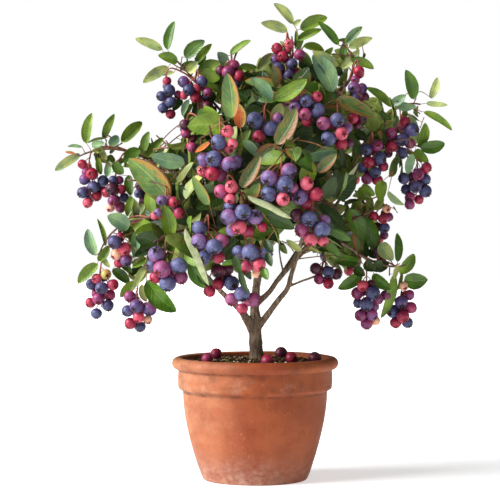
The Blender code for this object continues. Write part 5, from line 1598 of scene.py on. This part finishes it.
def leaf_top(name, paint, vein_paint, roughness, stain=None, onset=0.79):
    """The upper side of a leaf: a waxy skin over green, with a paler midrib and side veins that sink into it.
    Autumn stains spread from the rim in rusty flecks."""
    made, tree, shader, place = new_finish(name)
    marks = put(tree, "UVMap", uv_map="place")
    across, along = (put(tree, "SeparateXYZ", {0: marks}, out=i) for i in (0, 1))
    off = put(tree, "Math", {0: across, 1: 0.5}, operation="SUBTRACT")
    off = put(tree, "Math", {0: off}, operation="ABSOLUTE")
    patch = grain(tree, place, 18.182)
    blister = grain(tree, place, 3.0303, 3, 0.6)  # the skin swells between the small veins
    slant = put(tree, "Math", {0: along, 1: amount(tree, off, 0.55)}, operation="SUBTRACT")
    vein = put(tree, "Math", {0: amount(tree, slant, VEINS)}, operation="FRACT")
    vein = put(tree, "Math", {0: vein, 1: 0.5}, operation="SUBTRACT")
    vein = amount(tree, (put(tree, "Math", {0: vein}, operation="ABSOLUTE"), 0.1, 0.02))
    green = coats(tree, linear(paint, LEAF_DARK), (linear(paint, LEAF_LIGHT), (patch, 0.35, 0.65)))
    if stain:
        rust = grain(tree, marks, 200, 5, 0.7)  # flecks a fifth of the leaf across
        reach = put(tree, "Math", {0: off, 1: amount(tree, across, 0.5)}, operation="ADD")
        reach = put(tree, "Math", {0: rust, 1: amount(tree, reach, 0.6)}, operation="ADD")
        green = coats(tree, green, (linear(stain), (reach, onset, onset + 0.12)))
    green = coats(tree, green, (linear(vein_paint), vein, 0.16), (linear(vein_paint), (off, 0.026, 0.01, 0, 0.45)))
    sunk = put(tree, "Math", {0: vein, 1: amount(tree, (off, 0.05, 0))}, operation="MAXIMUM")
    sunk = put(tree, "Math", {0: sunk, 1: amount(tree, blister, 0.9)}, operation="SUBTRACT")
    set_inputs(tree, shader, {
        "Base Color": green, "Roughness": roughness, "Specular IOR Level": 0.5,
        "Normal": put(tree, "Bump", {"Height": sunk, "Distance": -0.0004, "Strength": 0.8}),
    })
    return made


def leaf_finishes():
    """A top for each tone, then the underside, the rim of old leaves and the silvery underside. An underside is
    paler and duller, with no wax, and a young one keeps a silvery down."""
    tops = [leaf_top("leaf_" + name, *tone) for name, *tone in LEAF_TONES.values()]
    # the underside is in part its own paler green and in part painted light, the yellow-green of light shining through
    # the leaf
    return tops + [mottled("leaf_underside", "5E6E28", "84924A", 8.3333, 0.75, 0.2),
                   leaf_top("leaf_rim_rusty", "7A4A1E", "6E4622", 0.7, "5A2E12"),
                   mottled("leaf_underside_silver", "78805C", "989E78", 8.3333, 0.75, 0.2)]


def fruit_skin(name, skin, ripening, bloom, wax):
    """A berry's skin under its bloom of wax: the wax scatters light softly and is rubbed off in places."""
    made, tree, shader, place = new_finish(name)
    along = put(tree, "SeparateXYZ", {0: put(tree, "UVMap", uv_map="place")}, out=1)
    cloud = grain(tree, place, 7.6923, 3, 0.55)  # clouds of wax
    rubbed = grain(tree, place, 2.0833, 4, 0.7, shift=(2, 2, 2))
    side = grain(tree, place, 16.129, 2, shift=(4, 1, 9))  # one side riper than the other
    waxy = amount(tree, (cloud, 0.3, 0.7, 0.25, 1), (rubbed, 0.4, 0.6, 0.4, 1), wax)
    ripe = put(tree, "Math", {0: amount(tree, along, 0.55), 1: side}, operation="ADD")
    colour = coats(tree, linear(ripening), (linear(skin), (ripe, 0.68, 0.92)), (linear(bloom), waxy),
                   (linear(skin, BERRY_EYE), (along, 0.86, 0.93, 0, 0.7)))
    set_inputs(tree, shader, {
        "Base Color": colour, "Roughness": amount(tree, (waxy, 0, 0.6, 0.38, 0.6)), "Specular IOR Level": 0.4,
        "Normal": put(tree, "Bump", {"Height": rubbed, "Distance": 0.0002, "Strength": 0.3}),
    })
    return made


def fruit_finishes():
    """A skin for each colour in the sun and in the shade, then the dried sepals round a berry's eye: papery
    and brown, or still red."""
    sunny = [fruit_skin("fruit_" + tone.name, *tone[1:5]) for tone in FRUIT_TONES.values()]
    # painted shade: shaded copies of the skins, with less wax
    shaded = [fruit_skin(f"fruit_{tone.name}_shaded", *tone[1:4], tone.wax * tone.shaded_wax)
              for tone in FRUIT_TONES.values()]
    return sunny + shaded + [mottled("crown_dry", "170B14", "3A1C28", 2, 0.8, 0.5, detail=2),
                             mottled("crown_red", "4E0A14", "8A1A28", 2, 0.8, 0.5, detail=2)]


# ---------------------------------------------------------------- stage


def set_stage():
    """A pale floor, a white room and one broad lamp from the upper left."""
    mesh = bpy.data.meshes.new("floor")
    mesh.from_pydata([(-6, -6, 0), (6, -6, 0), (6, 6, 0), (-6, 6, 0)], [], [(0, 1, 2, 3)])
    paper = mottled("floor_paper", "F2F2F2", "FAFAFA", 333.33, 0.9, 0.1, (0, 1), 2)
    shader = paper.node_tree.nodes["Principled BSDF"]
    set_inputs(paper.node_tree, shader, {"Emission Color": (1, 1, 1, 1), "Emission Strength": FLOOR_GLOW})
    mesh.materials.append(paper)
    placed("floor", mesh)

    world = bpy.data.worlds.new("white_room")
    world.use_nodes = True
    tree = world.node_tree
    seen_white = put(tree, "LightPath", out="Is Camera Ray")
    strength = amount(tree, (seen_white, 0, 1, ROOM_LIGHT, 1))
    set_inputs(tree, tree.nodes["Background"], {"Color": (1, 1, 1, 1), "Strength": strength})
    bpy.context.scene.world = world

    lamp = bpy.data.lights.new("lamp", "SUN")
    lamp.energy, lamp.angle = LAMP, LAMP_WIDTH
    placed("lamp", lamp).rotation_euler = LAMP_WAY.to_track_quat("-Z", "Y").to_euler()

    seen = bpy.data.cameras.new("camera")
    seen.lens, seen.sensor_width, seen.clip_start, seen.clip_end = LENS, 36, 0.1, 50
    camera = placed("camera", seen)
    camera.location = (CAMERA_ASIDE, -CAMERA_DISTANCE, CAMERA_HEIGHT)
    camera.rotation_euler = (PITCH, 0, 0)
    bpy.context.scene.camera = camera
    bpy.context.scene.view_settings.view_transform = "Standard"


def add_fallen(plant):
    """Berries lying on the soil, pressed a little into it."""
    for x, y, radius, colour, eye in FALLEN:
        centre = Vector((x, y, soil_height(x, y) + radius - 1.2))
        # fallen berries take the shaded copies of their skins: painted shade
        plant["berries"].append((centre, radius, Vector(eye).normalized(), colour.upper(), x))


def dress():
    """The whole picture, piece by piece."""
    set_stage()
    make_pot(thrown_clay())
    make_soil(potting_soil(), chip_finishes())
    limbs = limb_lines()
    make_bark(limbs, living_bark())
    plant = grow_crown(limbs)
    add_fallen(plant)
    sprays = make_leaves(plant, leaf_finishes())
    make_berries(plant, fruit_finishes())
    twigs = make_twigs(plant, young_wood_finishes())
    for piece in [twigs, *sprays]:
        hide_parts(*["leaves_" + name for name in MASSES])


dress()
